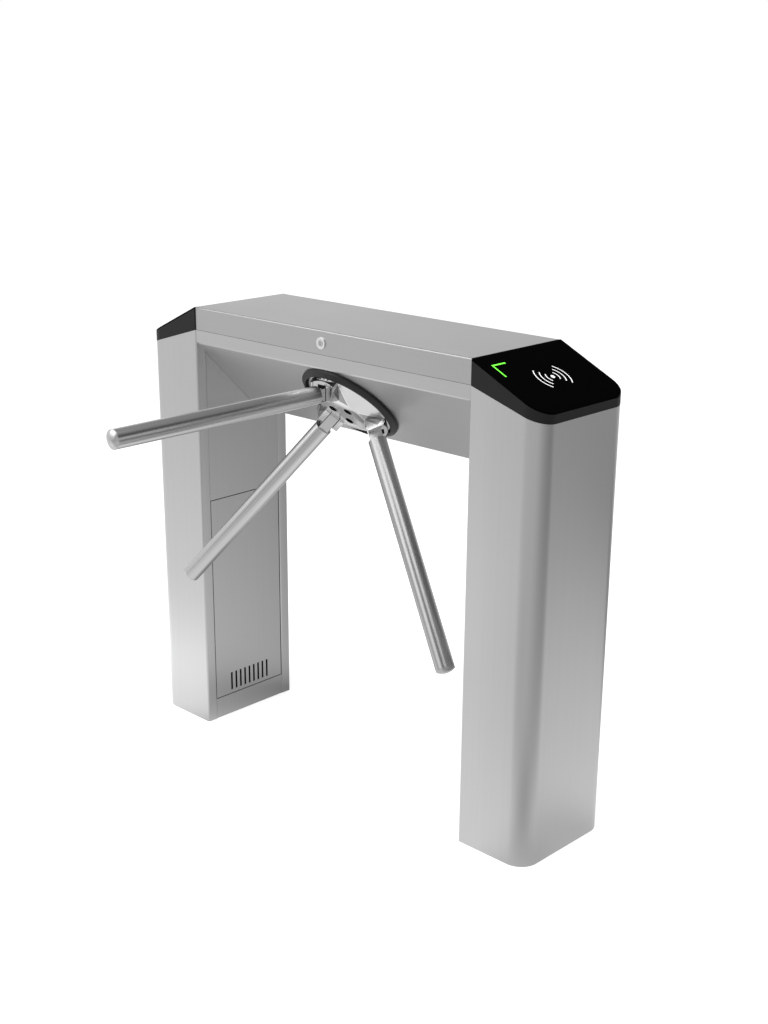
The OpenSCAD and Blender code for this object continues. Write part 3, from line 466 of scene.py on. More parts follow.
def screw_places():
    """A point on each screw's axis: the ring's radius turned about the hub's axis.

    The first radius points up, square to the axis.
    """
    up = np.array([0.0, HUB_OUT[2], -HUB_OUT[1]])
    return [HUB_CENTRE + SCREW_RING * turned(up, HUB_OUT, turn) for turn in SCREW_TURNS]


print("screws at", [np.round(place, 3).tolist() for place in screw_places()])

# %% Where the forks' hollow flanks are
LUG_HALF = 24 * MM
FORK_ROOT = 34 * MM
FLANK_WIDTH = 22 * MM
FLANK_LENGTH = 60 * MM
FLANK_GAP = 0.2 * MM
RIDGE = 1.0 * MM
NOSE_HEIGHT = 28.2 * MM


def facets(finish):
    """Two masks: 1 on the flanks beside each fork, and 1 on the ridge round them.

    A flank is a triangle: it starts FLANK_WIDTH wide at the fork's root and narrows to the rim.
    Both masks stop at the height of the hub's flat nose.
    """
    facet, ridge = 0.0, 0.0
    nose = finish.reach(HUB_CENTRE, HUB_OUT).below(NOSE_HEIGHT)
    for turn, way in zip(ARM_TURNS, ARM_WAYS):
        side = turned((1.0, 0.0, 0.0), HUB_OUT, turn)
        out = finish.reach(HUB_CENTRE, way)
        past = finish.reach(HUB_CENTRE, side).size() - LUG_HALF
        width = (FORK_ROOT - out) * (FLANK_WIDTH / FLANK_LENGTH) + FLANK_WIDTH
        inside = (width - past).above(0.0, RIDGE)
        length = out.above(FORK_ROOT, RIDGE) * past.above(FLANK_GAP)
        facet = inside * length * nose + facet
        near_edge = (1.0 - (width - past).size() / RIDGE).clamp()
        ridge = near_edge * length * nose + ridge
    return facet.clamp(), ridge.clamp()


print("a flank is", FLANK_WIDTH / MM, "mm wide at its root")

# %% Where shade and a highlight are painted on the hub
CAST_GREY = 0.66
FLANK_SHADE_GREY = 0.52 * CAST_GREY
RIDGE_HIGHLIGHT_GREY = 0.95
GAP_SHADE_GREY = 0.015
SHADED_RIM = 98.4 * MM
SHADED_HOLE = COUNTERBORE + 0.05 * MM


def hub_painted_light(finish, colour):
    """Painted shade on the flanks, a painted highlight on their ridge, and nearly black painted shade beyond the
    rim and in the holes.
    """
    # Painted near-black shade beyond the rim and round each screw.
    shaded = finish.from_axis(HUB_CENTRE, HUB_OUT).above(SHADED_RIM)
    for place in screw_places():
        shaded = shaded.larger(finish.from_axis(place, HUB_OUT).below(SHADED_HOLE))
    facet, ridge = facets(finish)
    colour = finish.mix(facet, colour, grey(FLANK_SHADE_GREY))
    colour = finish.mix(ridge, colour, grey(RIDGE_HIGHLIGHT_GREY))
    return finish.mix(shaded, colour, grey(GAP_SHADE_GREY))


print("raw metal from", SHADED_RIM / MM, "mm out, and", round(SHADED_HOLE / MM, 2), "mm round screws")


# %% Polished casting
def polished_cast(name, level, rough, marks=None):
    """Cast metal polished by hand: slow waves in the surface and faint clouds in the gloss.

    marks takes the finish and its colour and gives the colour with the marks on it.
    """
    finish = new_finish(name)
    wave = finish.clouds(60.0, detail=1.0)
    cloud = finish.clouds(25.0, detail=4.0)
    colour = finish.mix(cloud, grey(level * 0.92), grey(level * 1.06))
    if marks is not None:
        colour = marks(finish, colour)
    return finish.surface(
        Base_Color=colour, Metallic=1.0, Roughness=rough + 0.10 * (cloud - 0.5),
        Normal=finish.bump(wave, 0.15, 0.4 * MM))


cast_bright = polished_cast("polished_casting", CAST_GREY, 0.20)
hub_bright = polished_cast("polished_hub", CAST_GREY, 0.20, hub_painted_light)
# Painted shade and grease for the slits: a near-black finish on the bevel faces along each gap.
slit_dark = polished_cast("slit_shade_and_grease", 0.02, 0.6)
print("castings:", cast_bright.name, hub_bright.name, slit_dark.name)


# %% [markdown]
# ## Mouldings, glass and small metals
#
# The collar and the caps are injection mouldings, whose spark-eroded mould leaves a fine even
# grain that breaks up the gloss. A noise of 900 clouds a metre in the roughness and the bump has
# the real scale. The reader panels are black glass, nearly a mirror, with a trace of dust. The
# arrow and the reader's mark are light guides, which glow a little unevenly. Machined and plated
# pieces get faint clouds in shade and gloss. One function for each kind is enough, because the
# pieces of a kind differ only in colour and gloss.

# %% Grained plastic
def grained_plastic(name, level, rough, grain=900.0, tint=(1.0, 1.0, 1.0), shine=0.5):
    """Moulded plastic with a fine spark-eroded grain."""
    finish = new_finish(name)
    grains = finish.clouds(grain, detail=2.0)
    cloud = finish.clouds(12.0)
    colour = finish.mix(cloud, grey(level * 0.9, tint), grey(level * 1.1, tint))
    return finish.surface(
        Base_Color=colour, Roughness=rough + 0.12 * (grains - 0.5), Specular_IOR_Level=shine,
        Normal=finish.bump(grains, 0.12, 0.08 * MM))


collar_black = grained_plastic("collar_moulding", 0.016, 0.45, shine=0.35)
cap_black = grained_plastic("cap_moulding", 0.009, 0.5, shine=0.27)
# A near-black felt that stands for the shade behind the vents.
vent_shade_felt = grained_plastic("vent_shade_felt", 0.006, 0.9, grain=2500.0, shine=0.05)
device_black = grained_plastic("device_black", 0.02, 0.45)
device_grey = grained_plastic("device_grey", 0.22, 0.5)
board_green = grained_plastic("board_green", 0.05, 0.35, tint=(0.25, 1.0, 0.4))
cable_black = grained_plastic("cable_sheath", 0.015, 0.5)
print("plastics:", collar_black.name, cap_black.name, "and five more")


# %% Reader glass, its light and its print
def reader_glass(name):
    """Black glass with a trace of dust in its gloss."""
    finish = new_finish(name)
    dust = finish.clouds(45.0, detail=6.0, roughness=0.7)
    colour = finish.mix(dust, grey(0.0004), grey(0.0010))
    return finish.surface(
        Base_Color=colour, Roughness=0.09 + 0.06 * dust, Specular_IOR_Level=0.01)


def lit_guide(name, colour, strength):
    """A light guide whose glow is a little uneven, as light through milky plastic is."""
    finish = new_finish(name)
    cloud = finish.clouds(300.0)
    glow = finish.mix(cloud, tuple(0.85 * part for part in colour[:3]) + (1.0,), colour)
    return finish.surface(
        Base_Color=colour, Roughness=0.4, Emission_Color=glow, Emission_Strength=strength)


glass_black = reader_glass("reader_glass")
arrow_green = lit_guide("arrow_light", (0.16, 0.95, 0.05, 1.0), 1.0)
print_white = lit_guide("reader_print", (0.95, 0.95, 0.95, 1.0), 0.62)
print("reader:", glass_black.name, arrow_green.name, print_white.name)


# %% Small metals and the equipment's finishes
def turned_metal(name, colour, rough):
    """Machined or plated metal with faint cloudy marks."""
    finish = new_finish(name)
    marks = finish.clouds(180.0, detail=5.0)
    dark = tuple(0.82 * part for part in colour) + (1.0,)
    light = tuple(1.08 * part for part in colour) + (1.0,)
    return finish.surface(
        Base_Color=finish.mix(marks, dark, light), Metallic=1.0,
        Roughness=rough + 0.14 * (marks - 0.5))


lock_chrome = turned_metal("lock_chrome", (0.90, 0.90, 0.91), 0.16)
# The plug's darker grey is partly its own plating and partly painted shade for its key slot.
plug_nickel_and_shade = turned_metal("plug_nickel_and_shade", (0.62, 0.62, 0.63), 0.30)
dark_steel = turned_metal("blackened_steel", (0.10, 0.10, 0.105), 0.35)
screw_black = turned_metal("black_oxide", (0.012, 0.012, 0.013), 0.4)
hinge_steel = turned_metal("hinge_steel", (0.42, 0.42, 0.43), 0.32)
shaft_steel = turned_metal("ground_steel", (0.58, 0.58, 0.59), 0.22)
zinc = turned_metal("zinc_plate", (0.44, 0.45, 0.47), 0.42)
cast_grey = turned_metal("housing_casting", (0.16, 0.16, 0.165), 0.6)
pawl_brass = turned_metal("pawl_brass", (0.62, 0.42, 0.16), 0.3)
print("finishes:", len(bpy.data.materials))

# %% [markdown]
# ## Which finish each piece takes
#
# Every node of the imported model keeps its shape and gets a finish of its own. The table is read
# again below, when a piece with softer edges takes a node's place, so both look the same.

# %% The table of finishes
FINISH_OF = {
    sheet_post: ["left_post_shell", "right_post_shell"],
    sheet_panel: ["left_inner_panel", "right_inner_panel"],
    sheet_door: ["left_service_door", "right_service_door"],
    sheet_beam: ["beam_shell"],
    sheet_lid: ["lid"],
    cap_black: ["left_cap", "right_cap"],
    glass_black: ["left_reader_panel", "right_reader_panel"],
    board_green: ["reader_boards"],
    arrow_green: ["arrow_lights"],
    print_white: ["reader_icons"],
    hinge_steel: ["lid_hinge_lower_leaves", "lid_hinge_upper_leaves", "lid_hinge_pins",
                  "door_pivots"],
    lock_chrome: ["lock_body"],
    plug_nickel_and_shade: ["lock_plug"],
    dark_steel: ["lock_cam", "arm_pins", "plate_studs", "pawl_posts"],
    screw_black: ["hub_screws"],
    collar_black: ["hub_collar"],
    hub_bright: ["hub"],
    cast_bright: ["arm_1_knuckle", "arm_2_knuckle", "arm_3_knuckle"],
    zinc: ["left_base_plate", "right_base_plate", "mechanism_plate", "equipment_tray"],
    shaft_steel: ["main_shaft", "bearing_outer_races", "bearing_inner_races", "lock_disc",
                  "main_gear", "motor_pinion", "upper_plunger", "lower_plunger"],
    cast_grey: ["bearing_housing"],
    pawl_brass: ["upper_pawl", "lower_pawl"],
    device_black: ["gear_motor", "solenoids", "position_sensor", "sensor_disc", "door_catches"],
    device_grey: ["power_supply", "control_box"],
    cable_black: ["cable_harness"],
    arm_finishes[0]: ["arm_1_tube", "arm_1_end_cap"],
    arm_finishes[1]: ["arm_2_tube", "arm_2_end_cap"],
    arm_finishes[2]: ["arm_3_tube", "arm_3_end_cap"],
}
finish_of = {node: finish for finish, names in FINISH_OF.items() for node in names}
body_of = {node: body for body, names in frame["record"]["behaviour"]["bodies"].items()
           for node in names}
print("finishes in use:", len(FINISH_OF), "for", len(finish_of), "nodes")


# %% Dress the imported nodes
def dress(piece, finish):
    """Gives every slot of a piece the same finish."""
    if not piece.material_slots:
        piece.data.materials.append(finish)
    for slot in piece.material_slots:
        slot.material = finish


for name, node in frame["nodes"].items():
    dress(node, finish_of[name])
print("dressed", len(frame["nodes"]), "nodes")

# %% [markdown]
# ## Surfaces as grids of points
#
# A new piece is a formula of two parameters, worked out by numpy for the whole grid at once. The
# grid's cells become quads. A closed grid joins its last column to its first, and rows that shrink
# to a point are merged.

# %% From a mesh to a piece
MERGE_GRID, MERGE_NODE = 0.004 * MM, 0.003 * MM
SMALLEST_EDGE = 0.002 * MM
FLAT_ANGLE = 0.4


def clean_mesh(mesh, merge, join_flat=False):
    """Merges doubled points and drops empty faces. join_flat also joins faces in one plane."""
    work = bmesh.new()
    work.from_mesh(mesh)
    bmesh.ops.remove_doubles(work, verts=work.verts, dist=merge)
    bmesh.ops.dissolve_degenerate(work, edges=work.edges, dist=SMALLEST_EDGE)
    if join_flat:
        bmesh.ops.dissolve_limit(
            work, angle_limit=math.radians(FLAT_ANGLE), verts=work.verts, edges=work.edges,
            delimit={"NORMAL"})
    work.to_mesh(mesh)
    work.free()


def new_piece(name, mesh, sharp):
    """Smooths the mesh, except at edges that turn by more than sharp degrees, and links it."""
    mesh.shade_smooth()
    mesh.set_sharp_from_angle(angle=math.radians(sharp))
    piece = bpy.data.objects.new(name, mesh)
    bpy.context.scene.collection.objects.link(piece)
    return piece


print("points nearer than", MERGE_GRID / MM, "mm are merged")


# %% From a grid to a piece, in a node's place
def grid_piece(name, points, closed=False, sharp=30.0):
    """A mesh over points[row, column]. Corner (r, c) joins its next row and its next column."""
    rows, columns = points.shape[:2]
    row = np.arange(rows - 1)[:, None]
    column = np.arange(columns if closed else columns - 1)[None, :]
    next_column = (column + 1) % columns
    quads = np.stack([
        row * columns + column, row * columns + next_column,
        (row + 1) * columns + next_column, (row + 1) * columns + column], axis=-1)
    mesh = bpy.data.meshes.new(name)
    mesh.from_pydata(points.reshape(-1, 3).tolist(), [], quads.reshape(-1, 4).tolist())
    clean_mesh(mesh, MERGE_GRID)
    return new_piece(name, mesh, sharp)


def stand_for(piece, node):
    """The piece takes the node's place: its finish and its body."""
    dress(piece, finish_of[node])
    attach(piece, body_of[node])
    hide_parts(node)
    return piece


print("bodies to ride on:", len(set(body_of.values())))

# %% [markdown]
# ## Folded sheet
#
# A press brake folds each sheet, so no fold is a knife edge: it has a bend radius, and that is
# what catches the light as a thin bright line. The outline of a sheet is written as its corners,
# and every corner becomes an arc that touches both of its legs.

# %% Round the corners of an outline
def bent_path(corners, radii, steps):
    """Points along an open outline whose inner corners are arcs.

    The arc at a corner starts at radius * tan(half the turn) before it and ends as far after it.
    """
    corners = np.asarray(corners, float)
    path = [corners[:1]]
    for before, corner, after, radius in zip(corners, corners[1:], corners[2:], radii):
        way_in = (corner - before) / np.linalg.norm(corner - before)
        way_out = (after - corner) / np.linalg.norm(after - corner)
        cross = way_in[0] * way_out[1] - way_in[1] * way_out[0]
        turn = math.atan2(cross, np.dot(way_in, way_out))
        start = corner - way_in * radius * math.tan(abs(turn) / 2)
        side = np.array([-way_in[1], way_in[0]]) * np.sign(turn)
        angles = np.linspace(0.0, abs(turn), steps + 1)[:, None]
        path.append(start + radius * (np.sin(angles) * way_in + (1 - np.cos(angles)) * side))
    path.append(corners[-1:])
    return np.concatenate(path)


print("a right angle in 4 steps:", len(bent_path([(0, 0), (1, 0), (1, 1)], [0.5], 4)), "points")

# %% Thickness and soft edges
CUT_EDGE = 0.3 * MM
CUT_ANGLE = 40.0
SOFT_ANGLE = 28.0


def edge_rounding(piece, name, width, segments, limit, angle=SOFT_ANGLE):
    """A Bevel modifier on the edges that limit picks: ANGLE or WEIGHT."""
    edge = piece.modifiers.new(name, "BEVEL")
    edge.width = width
    edge.segments = segments
    edge.limit_method = limit
    edge.angle_limit = math.radians(angle)
    edge.harden_normals = True
    return edge


def thicken(piece):
    """Gives a sheet its thickness, towards the inside of its faces, and breaks its cut edges."""
    wall = piece.modifiers.new("sheet_thickness", "SOLIDIFY")
    wall.thickness = SHEET
    wall.offset = -1.0
    wall.use_even_offset = True
    edge_rounding(piece, "cut_edges", CUT_EDGE, 2, "ANGLE", CUT_ANGLE)
    return piece


print("sheet", SHEET / MM, "mm thick, cut edges broken by", CUT_EDGE / MM, "mm")

# %% [markdown]
# ## The posts
#
# Each post is one sheet folded round: a jamb beside the inner panel, a narrow return, a side with
# a large corner, the end, and the same again. Its outline is carried upwards, and the top follows
# the underside of the sloped cap.

# %% A post's outline in plan
CORNER = 40 * MM
JAMB = 20 * MM
RETURN = 24.5 * MM
CAP_FALL = 50 * MM
CAP_RUN = 166 * MM
POST_ROWS = 24
CORNER_STEPS = 16


def post_plan():
    """Outer face of the right post's sheet in plan, from its rear jamb round to its front one."""
    jamb_y = HALF_WIDTH - RETURN
    corners = [
        (INNER_X + JAMB, jamb_y), (INNER_X, jamb_y), (INNER_X, HALF_WIDTH), (OUTER_X, HALF_WIDTH),
        (OUTER_X, -HALF_WIDTH), (INNER_X, -HALF_WIDTH), (INNER_X, -jamb_y),
        (INNER_X + JAMB, -jamb_y)]
    return bent_path(corners, [BEND, BEND, CORNER, CORNER, BEND, BEND], CORNER_STEPS)


print("points round a post's sheet:", len(post_plan()))


# %% Post shells
def post_skin(name, side):
    """Carries the plan upwards to z = share of the way to the cap's slope.

    side is 1 for the right post and -1 for the left one, whose grid is turned round so that its
    faces still point outwards.
    """
    plan = post_plan()
    top = LID_Z - CAP_FALL * (plan[:, 0] - INNER_X) / CAP_RUN
    share = np.linspace(0.0, 1.0, POST_ROWS)[:, None]
    points = np.stack([
        np.broadcast_to(side * plan[:, 0], (POST_ROWS, len(plan))),
        np.broadcast_to(plan[:, 1], (POST_ROWS, len(plan))),
        share * top[None, :]], axis=-1)
    if side < 0:
        points = points[:, ::-1]
    return thicken(grid_piece(name, points, sharp=40.0))


for name, side in (("left", -1), ("right", 1)):
    skin = stand_for(post_skin(f"{name}_post_sheet", side), f"{name}_post_shell")
    print(skin.name, len(skin.data.polygons), "quads")

# %% [markdown]
# ## Softened castings and mouldings
#
# A casting or a moulding has a small radius on every edge. Those pieces already have their exact
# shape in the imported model, so the quickest true way is to copy that mesh, merge its loose
# triangles into flat faces, and bevel only the edges where two faces meet at a clear angle.

# %% Copy a node and soften its edges
def pick_edges(mesh, test):
    """Gives bevel weight 1 to the edges that test(first ends, second ends) accepts."""
    places = np.empty(3 * len(mesh.vertices))
    mesh.vertices.foreach_get("co", places)
    ends = np.empty(2 * len(mesh.edges), dtype=int)
    mesh.edges.foreach_get("vertices", ends)
    places, ends = places.reshape(-1, 3), ends.reshape(-1, 2)
    picked = test(places[ends[:, 0]], places[ends[:, 1]])
    weights = mesh.attributes.new("bevel_weight_edge", "FLOAT", "EDGE")
    weights.data.foreach_set("value", picked.astype(np.float32))
    return int(picked.sum())


def softened(node_name, width, fold=None, fold_width=BEND, dark=None):
    """A copy of a node's mesh with soft edges.

    Edges that fold accepts get the width fold_width, and the finish dark where it is given.
    """
    mesh = frame["nodes"][node_name].data.copy()
    clean_mesh(mesh, MERGE_NODE, join_flat=True)
    piece = new_piece(f"{node_name}_soft", mesh, SOFT_ANGLE)
    if fold is not None:
        print(node_name, "has", pick_edges(mesh, fold), "folded edges")
        folds = edge_rounding(piece, "folds", fold_width, 1 if dark else 4, "WEIGHT")
        # A clamped bevel would shrink to the shortest edge beside it, such as one of a hole.
        folds.use_clamp_overlap = False
        folds.material = 1 if dark else -1
    edge_rounding(piece, "soft_edges", width, 2, "ANGLE")
    stand_for(piece, node_name)
    if dark:
        piece.data.materials.clear()
        piece.data.materials.append(finish_of[node_name])
        piece.data.materials.append(dark)
    return piece


print("edges that turn by more than", SOFT_ANGLE, "degrees are softened")

# %% [markdown]
# ## Folds of the beam and the lid
#
# The beam and the lid are folded sheets too, and their folds show as thin bright lines. Their
# solids have sharp folds. The edges on a fold line are found by their place and get a wider bevel
# than the cut edges, because making both pieces anew would repeat all their holes.

# %% The folds of the beam and the lid
SAME_PLACE = 0.05 * MM


def near(values, target):
    """True where a value is the target, apart from rounding."""
    return np.abs(values - target) < SAME_PLACE


def on_lines(first, second, lines):
    """True for edges that run along X through one of the (y, z) points."""
    return np.any([near(first[:, 1], y) & near(first[:, 2], z) & near(second[:, 1], y)
                   & near(second[:, 2], z) for y, z in lines], axis=0)


BAND_Z = 912 * MM
SLOPE_FOOT = 42 * MM
beam_folds = [(-HALF_WIDTH, BAND_Z), (SLOPE_FOOT, beam_low[2]), (HALF_WIDTH, beam_low[2])]
lid_folds = [(-HALF_WIDTH, lid_high[2]), (HALF_WIDTH, lid_high[2])]
SHEET_EDGE = 0.25 * MM
softened("lid", SHEET_EDGE, fold=lambda a, b: on_lines(a, b, lid_folds))
softened("beam_shell", SHEET_EDGE, fold=lambda a, b: on_lines(a, b, beam_folds))

# %% [markdown]
# ## Slits in the forks, and other soft edges
#
# Each arm's tongue sits in a fork of the hub with a gap of 0.3 mm. Shade and grease make the gap a
# dark line, which so thin a gap wouldn't show by itself. The edges along a slit therefore get one
# flat bevel face in a dark finish: painted shade and grease. The mouldings, the doors and the lock
# need only soft edges, each as wide as its process leaves them.

# %% The slits between the hub's forks and the arms' tongues
TONGUE_HALF = 11.5 * MM
TONGUE_GAP = 0.3 * MM
SHORTEST_SLIT = 2 * MM
SLIT_SEAM = 0.8 * MM


def on_slit(first, second, numbers, half):
    """True for long edges in the planes at half to both sides of an arm's middle."""
    long = np.linalg.norm(first - second, axis=1) > SHORTEST_SLIT
    hits = np.zeros(len(first), bool)
    for number in numbers:
        side = turned((1.0, 0.0, 0.0), HUB_OUT, ARM_TURNS[number - 1])
        start, end = ((ends - HUB_CENTRE) @ side for ends in (first, second))
        hits |= near(np.abs(start), half) & near(start, end)
    return hits & long


softened("hub", 0.8 * MM, fold=lambda a, b: on_slit(a, b, (1, 2, 3), TONGUE_HALF + TONGUE_GAP),
         fold_width=SLIT_SEAM, dark=slit_dark)
for number in (1, 2, 3):
    softened(f"arm_{number}_knuckle", 0.5 * MM, fold_width=SLIT_SEAM, dark=slit_dark,
             fold=lambda a, b: on_slit(a, b, (number,), TONGUE_HALF))

# %% Mouldings, doors and the lock
# Width of the soft edges in millimetres, and the nodes that get it.
SOFT_WIDTHS = {
    1.0: ["hub_collar"],
    0.6: ["left_cap", "right_cap"],
    0.4: ["lock_body", "lock_plug"],
    0.3: ["left_inner_panel", "right_inner_panel", "left_service_door", "right_service_door"],
}
for width, names in SOFT_WIDTHS.items():
    for name in names:
        soft = softened(name, width * MM)
        print(soft.name, "bevelled by", width, "mm")

# %% [markdown]
# ## A dark pad behind the vents
#
# The slots in the doors look black because a near-black felt pad lies behind them: painted shade for
# the dark inside of the cabinet. The pad is a rounded rectangle that is carried a little way along X:
# a ring of points, moved and shrunk row by row, which closes in the middle of both faces.

# %% The outline of a filter pad
PAD_GAP = 0.3 * MM
PAD_THICK = 2.5 * MM
PAD_HALF = 64 * MM
PAD_LOW, PAD_HIGH = 56 * MM, 110 * MM
PAD_CORNER = 5 * MM
# Share of the thickness and share of the ring's size, from the front's middle to the back's.
PAD_ROWS = [(0.0, 0.0), (0.0, 0.97), (0.15, 1.0), (0.85, 1.0), (1.0, 0.97), (1.0, 0.0)]


def pad_ring():
    """(y, z) of a rounded rectangle: quarter circles about its four inner corners."""
    angles = np.linspace(0.0, math.pi / 2, 7)
    quarters = [(PAD_HALF, PAD_HIGH, 1, 1), (-PAD_HALF, PAD_HIGH, -1, 1),
                (-PAD_HALF, PAD_LOW, -1, -1), (PAD_HALF, PAD_LOW, 1, -1)]
    ring = []
    for quarter, (y, z, toward_y, toward_z) in enumerate(quarters):
        turn = angles + quarter * math.pi / 2
        ring.append(np.stack([
            y - toward_y * PAD_CORNER + PAD_CORNER * np.cos(turn),
            z - toward_z * PAD_CORNER + PAD_CORNER * np.sin(turn)], axis=-1))
    return np.concatenate(ring)


print("a filter pad's ring has", len(pad_ring()), "points")


# %% Filter pads behind the doors
def vent_shade_pad(name, side):
    """Each row is the ring shrunk towards its middle and moved along X by its depth."""
    ring = pad_ring()
    middle = np.array([0.0, (PAD_LOW + PAD_HIGH) / 2])
    front = INNER_X + SHEET + PAD_GAP
    points = np.stack([
        np.concatenate([
            np.full((len(ring), 1), side * (front + PAD_THICK * depth)),
            middle + (ring - middle) * size], axis=1)
        for depth, size in PAD_ROWS])
    if side < 0:
        points = points[:, ::-1]
    return grid_piece(name, points, closed=True, sharp=50.0)


for name, side in (("left", -1), ("right", 1)):
    pad = vent_shade_pad(f"{name}_vent_shade_sheet", side)
    dress(pad, vent_shade_felt)
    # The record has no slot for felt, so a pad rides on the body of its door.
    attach(pad, body_of[f"{name}_service_door"])
    print(pad.name, "is", round(PAD_THICK / MM, 1), "mm thick")

# %% [markdown]
# ## Arms with their seams
#
# An arm is a body of revolution, so its profile is a short list of radii along the tube. The
# tube's rim and the end cap's rim each have a tiny radius, and the hairline between them is the
# seam that the eye reads as a fitted cap.

# %% Turn a profile about an arm's centre line
ARM_OFFSET = 31.1 * MM
ARM_START = 98 * MM
TUBE_LENGTH = 500 * MM
ARM_RADIUS = 19 * MM
TUBE_WALL = 1.5 * MM
CAP_RIM = 1 * MM
CAP_BULGE = 6 * MM
CAP_PLUG = 10 * MM
PLUG_GAP = 0.05 * MM
RIM = 0.3 * MM
ROUND_STEPS = 72


def revolved(name, profile, number):
    """Turns (distance along, radius) points about an arm's centre line."""
    way = ARM_WAYS[number - 1]
    lift = turned((0.0, 0.0, 1.0), HUB_OUT, ARM_TURNS[number - 1])
    cross = np.cross(way, lift)
    start = HUB_CENTRE + ARM_OFFSET * lift
    profile = np.asarray(profile, float)
    angles = np.linspace(0.0, 2 * math.pi, ROUND_STEPS, endpoint=False)
    ring = np.cos(angles)[:, None] * lift + np.sin(angles)[:, None] * cross
    points = start + profile[:, :1, None] * way + profile[:, 1:, None] * ring[None, :, :]
    return grid_piece(name, points, closed=True, sharp=35.0)


print("an arm's line lies", round(ARM_OFFSET / MM, 1), "mm above the hub's centre")


# %% The profiles of a tube and its cap
def tube_profile():
    """Along the outside with rounded rims, and back along the bore."""
    end = ARM_START + TUBE_LENGTH
    bore = ARM_RADIUS - TUBE_WALL
    return [(ARM_START, bore), (ARM_START, ARM_RADIUS - RIM), (ARM_START + RIM, ARM_RADIUS),
            *[(s, ARM_RADIUS) for s in np.linspace(ARM_START, end, 12)[1:-1]],
            (end - RIM, ARM_RADIUS), (end, ARM_RADIUS - RIM), (end, bore), (ARM_START, bore)]


def dome_profile():
    """The plug in the tube, the rim, and a shallow spherical end."""
    start = ARM_START + TUBE_LENGTH
    bore = ARM_RADIUS - TUBE_WALL
    sphere = (ARM_RADIUS ** 2 + CAP_BULGE ** 2) / (2 * CAP_BULGE)
    centre = start + CAP_RIM + CAP_BULGE - sphere
    edge = math.asin(ARM_RADIUS / sphere)
    dome = [(centre + sphere * math.cos(angle), sphere * math.sin(angle))
            for angle in np.linspace(edge, 0.0, 14)]
    return [(start - CAP_PLUG, 0.0), (start - CAP_PLUG, bore - PLUG_GAP),
            (start, bore - PLUG_GAP), (start, ARM_RADIUS - RIM), (start + RIM, ARM_RADIUS),
            (start + CAP_RIM, ARM_RADIUS), *dome[1:]]


print("points in the profiles:", len(tube_profile()), "and", len(dome_profile()))

# %% Arm tubes and end caps
# A satin post would mirror the tip of an arm as one grey blot, so the arms are left out of the
# other pieces' reflections.
for number in (1, 2, 3):
    sleeve = revolved(f"arm_{number}_sleeve", tube_profile(), number)
    dome = revolved(f"arm_{number}_dome", dome_profile(), number)
    stand_for(sleeve, f"arm_{number}_tube").visible_glossy = False
    stand_for(dome, f"arm_{number}_end_cap").visible_glossy = False
    print(sleeve.name, len(sleeve.data.polygons), "faces", dome.name, len(dome.data.polygons))

# %% [markdown]
# ## The studio
#
# The photograph is a catalogue picture on pure white. The floor and the world show white to the
# camera, through Light Path, while the lamps stay low enough that each finish keeps its colour.
#
# Satin steel has hardly a colour of its own: it shows the room. One plain white room would make
# all its faces equal, so the room in the reflections is lit as a studio is, from the front left.
# Its tone falls off towards the back right, towards the camera, and in the turnstile's shadow.
# The tones are painted on the floor and the world themselves, in metres from the turnstile's
# middle, and not on the steel, so they stay in place when the camera moves.

# %% The room's tone
DIAGONAL = 0.7071


def across(x, y):
    """Distance from front left (-) to back right (+)."""
    return (x + y) * DIAGONAL


def along(x, y):
    """Distance from back left (-) to the camera's side (+)."""
    return (x - y) * DIAGONAL


def ramp(value, start, length):
    """0 before start, 1 from start + length on. A negative length runs the other way."""
    return ((value - start) / length).clamp()


def patch(value, centre, width, height=1.0):
    """A tent over centre with slopes of 1 / width. A height over 1 gives it a flat top."""
    return (height - (value - centre).size() / width).clamp()


def room_tone(u, v):
    """Brightest beside the key light, less towards the back right and towards the camera."""
    return (1.06 - 0.42 * ramp(u, 0.0, 2.6) - 0.26 * ramp(u, 0.0, -3.0)
            - 0.42 * ramp(v, 0.45, 0.35))


print("the camera's side is at", round(float(along(*CAMERA_PLACE.xy)), 2), "m")

# %% Floor
FLOOR_HALF = 14.0
WHITE_LIFT = 0.62


def floor_points():
    """A square grid at Z = 0."""
    line = np.linspace(-FLOOR_HALF, FLOOR_HALF, 3)
    x, y = np.meshgrid(line, line)
    return np.stack([x, y, np.zeros_like(x)], axis=-1)


floor = grid_piece("studio_floor", floor_points())
print("the floor is", 2 * FLOOR_HALF, "m wide")


# %% The floor's tones in reflections
def floor_tone(u, v):
    """The room's tone with the turnstile's shadows and the lamps' pools of light.

    Places and widths are metres from the turnstile's middle, strengths are shares of white.
    """
    beam_shadow = patch(v, -0.62, 0.6, 1.3) * ramp(u, -0.42, 0.25)
    left_foot = patch(u, -0.25, 0.14, 1.6) * patch(v, -0.26, 0.18, 1.6)
    right_foot = patch(u, 0.42, 0.15, 1.5) * patch(v, 0.40, 0.1, 1.5)
    corner_foot = patch(u, 0.3, 0.15, 1.4) * patch(v, 0.65, 0.12, 2.0)
    dark = 0.5 * beam_shadow + 0.34 * left_foot + 0.28 * right_foot + 0.24 * corner_foot
    left_pool = patch(u, -0.77, 0.5) * ramp(v, 0.1, -0.3)
    right_pool = ramp(u, -0.5, -0.8) * ramp(v, 0.1, 0.3)
    rear_pool = ramp(v, -0.35, -0.2) * patch(u, -0.65, 0.6)
    front_pool = patch(u, -1.9, 0.9)
    light = 0.48 * left_pool + 0.16 * right_pool + 0.22 * rear_pool + 0.13 * front_pool
    return room_tone(u, v) + light - dark


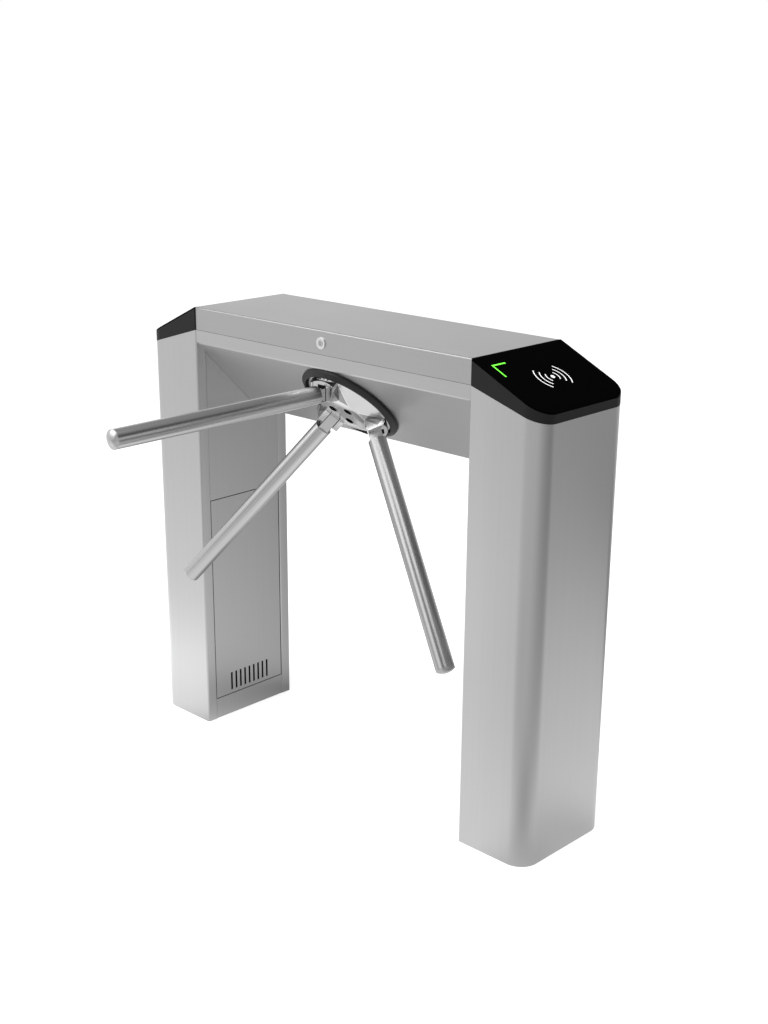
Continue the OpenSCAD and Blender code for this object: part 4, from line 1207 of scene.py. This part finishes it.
finish = new_finish("floor_paint")
seen, shiny, clear = finish.ray_kinds()
spot_x, spot_y = finish.axes(finish.place())[:2]
tone = floor_tone(across(spot_x, spot_y), along(spot_x, spot_y))
paint = finish.node("ShaderNodeBsdfDiffuse", {}, {"Color": grey(0.8)})
white = finish.node("ShaderNodeEmission", {}, {"Color": grey(1.0), "Strength": WHITE_LIFT})
mirror = finish.node("ShaderNodeEmission", {}, {"Color": grey(1.0), "Strength": tone})
lit = finish.node("ShaderNodeAddShader", {}, {0: paint, 1: white})
either = finish.node("ShaderNodeMixShader", {}, {0: (seen + clear).clamp(), 1: paint, 2: lit})
whole = finish.node("ShaderNodeMixShader", {}, {0: shiny, 1: either, 2: mirror})
finish.node("ShaderNodeOutputMaterial", {}, {"Surface": whole})
dress(floor, finish.owner)
print("floor nodes:", len(finish.tree.nodes))

# %% World
# A direction across or along the room stands for a place this far away.
FAR_ACROSS, FAR_ALONG = 2.6, 1.3
DIM_CEILING = 0.04

world = bpy.data.worlds.new("studio")
bpy.context.scene.world = world
sky = Finish(world)
seen, shiny, clear = sky.ray_kinds()
direction = sky.node("ShaderNodeTexCoord", output="Generated")
way_x, way_y, way_z = sky.axes(direction)
side = across(way_x, way_y)
# The walls darken upwards, faster on the right, and the ceiling's panels are bright again.
horizon = room_tone(FAR_ACROSS * side, FAR_ALONG * along(way_x, way_y))
fall = (1.6 + 2.4 * side.clamp()) * ramp(way_z, 0.15, 1.0)
top_light = 0.25 * ramp(way_z, 0.5, 0.2) + 0.35 * ramp(way_z, 0.8, 0.15)
tone = horizon * (1.0 - fall).clamp() + DIM_CEILING + top_light
soft = sky.node("ShaderNodeBackground", {}, {"Color": grey(1.0), "Strength": 0.55})
seen_white = sky.node("ShaderNodeBackground", {}, {"Color": grey(1.0), "Strength": 1.0})
mirrored = sky.node("ShaderNodeBackground", {}, {"Color": grey(1.0), "Strength": tone})
either = sky.node("ShaderNodeMixShader", {}, {0: shiny, 1: soft, 2: mirrored})
whole = sky.node("ShaderNodeMixShader", {}, {0: (seen + clear).clamp(), 1: either, 2: seen_white})
sky.node("ShaderNodeOutputWorld", {}, {"Surface": whole})
print("world nodes:", len(sky.tree.nodes))


# %% [markdown]
# ## Lamps
#
# Three square soft boxes light the pieces: a large key lamp from the front left, one from above,
# and a weak one from the right for the end of the right post. Area lamps are used because they
# give soft shadows and broad reflections on satin metal, which point or sun lamps don't.

# %% Soft boxes
def soft_box(name, place, target, size, power):
    """A square area lamp that faces a target."""
    data = bpy.data.lights.new(name, "AREA")
    data.size = size
    data.energy = power
    lamp = bpy.data.objects.new(name, data)
    lamp.location = place
    lamp.rotation_mode = "QUATERNION"
    lamp.rotation_quaternion = (Vector(target) - Vector(place)).to_track_quat("-Z", "Y")
    bpy.context.scene.collection.objects.link(lamp)
    print(name, "lamp:", size, "m wide,", power, "W")


soft_box("key", (-2.2, -3.2, 3.4), (0.0, 0.0, 0.5), 4.0, 75.0)
soft_box("top", (0.4, -1.2, 4.2), (0.0, 0.0, 0.6), 3.0, 45.0)
soft_box("side", (4.0, -1.5, 2.4), (0.0, 0.0, 0.5), 2.0, 20.0)
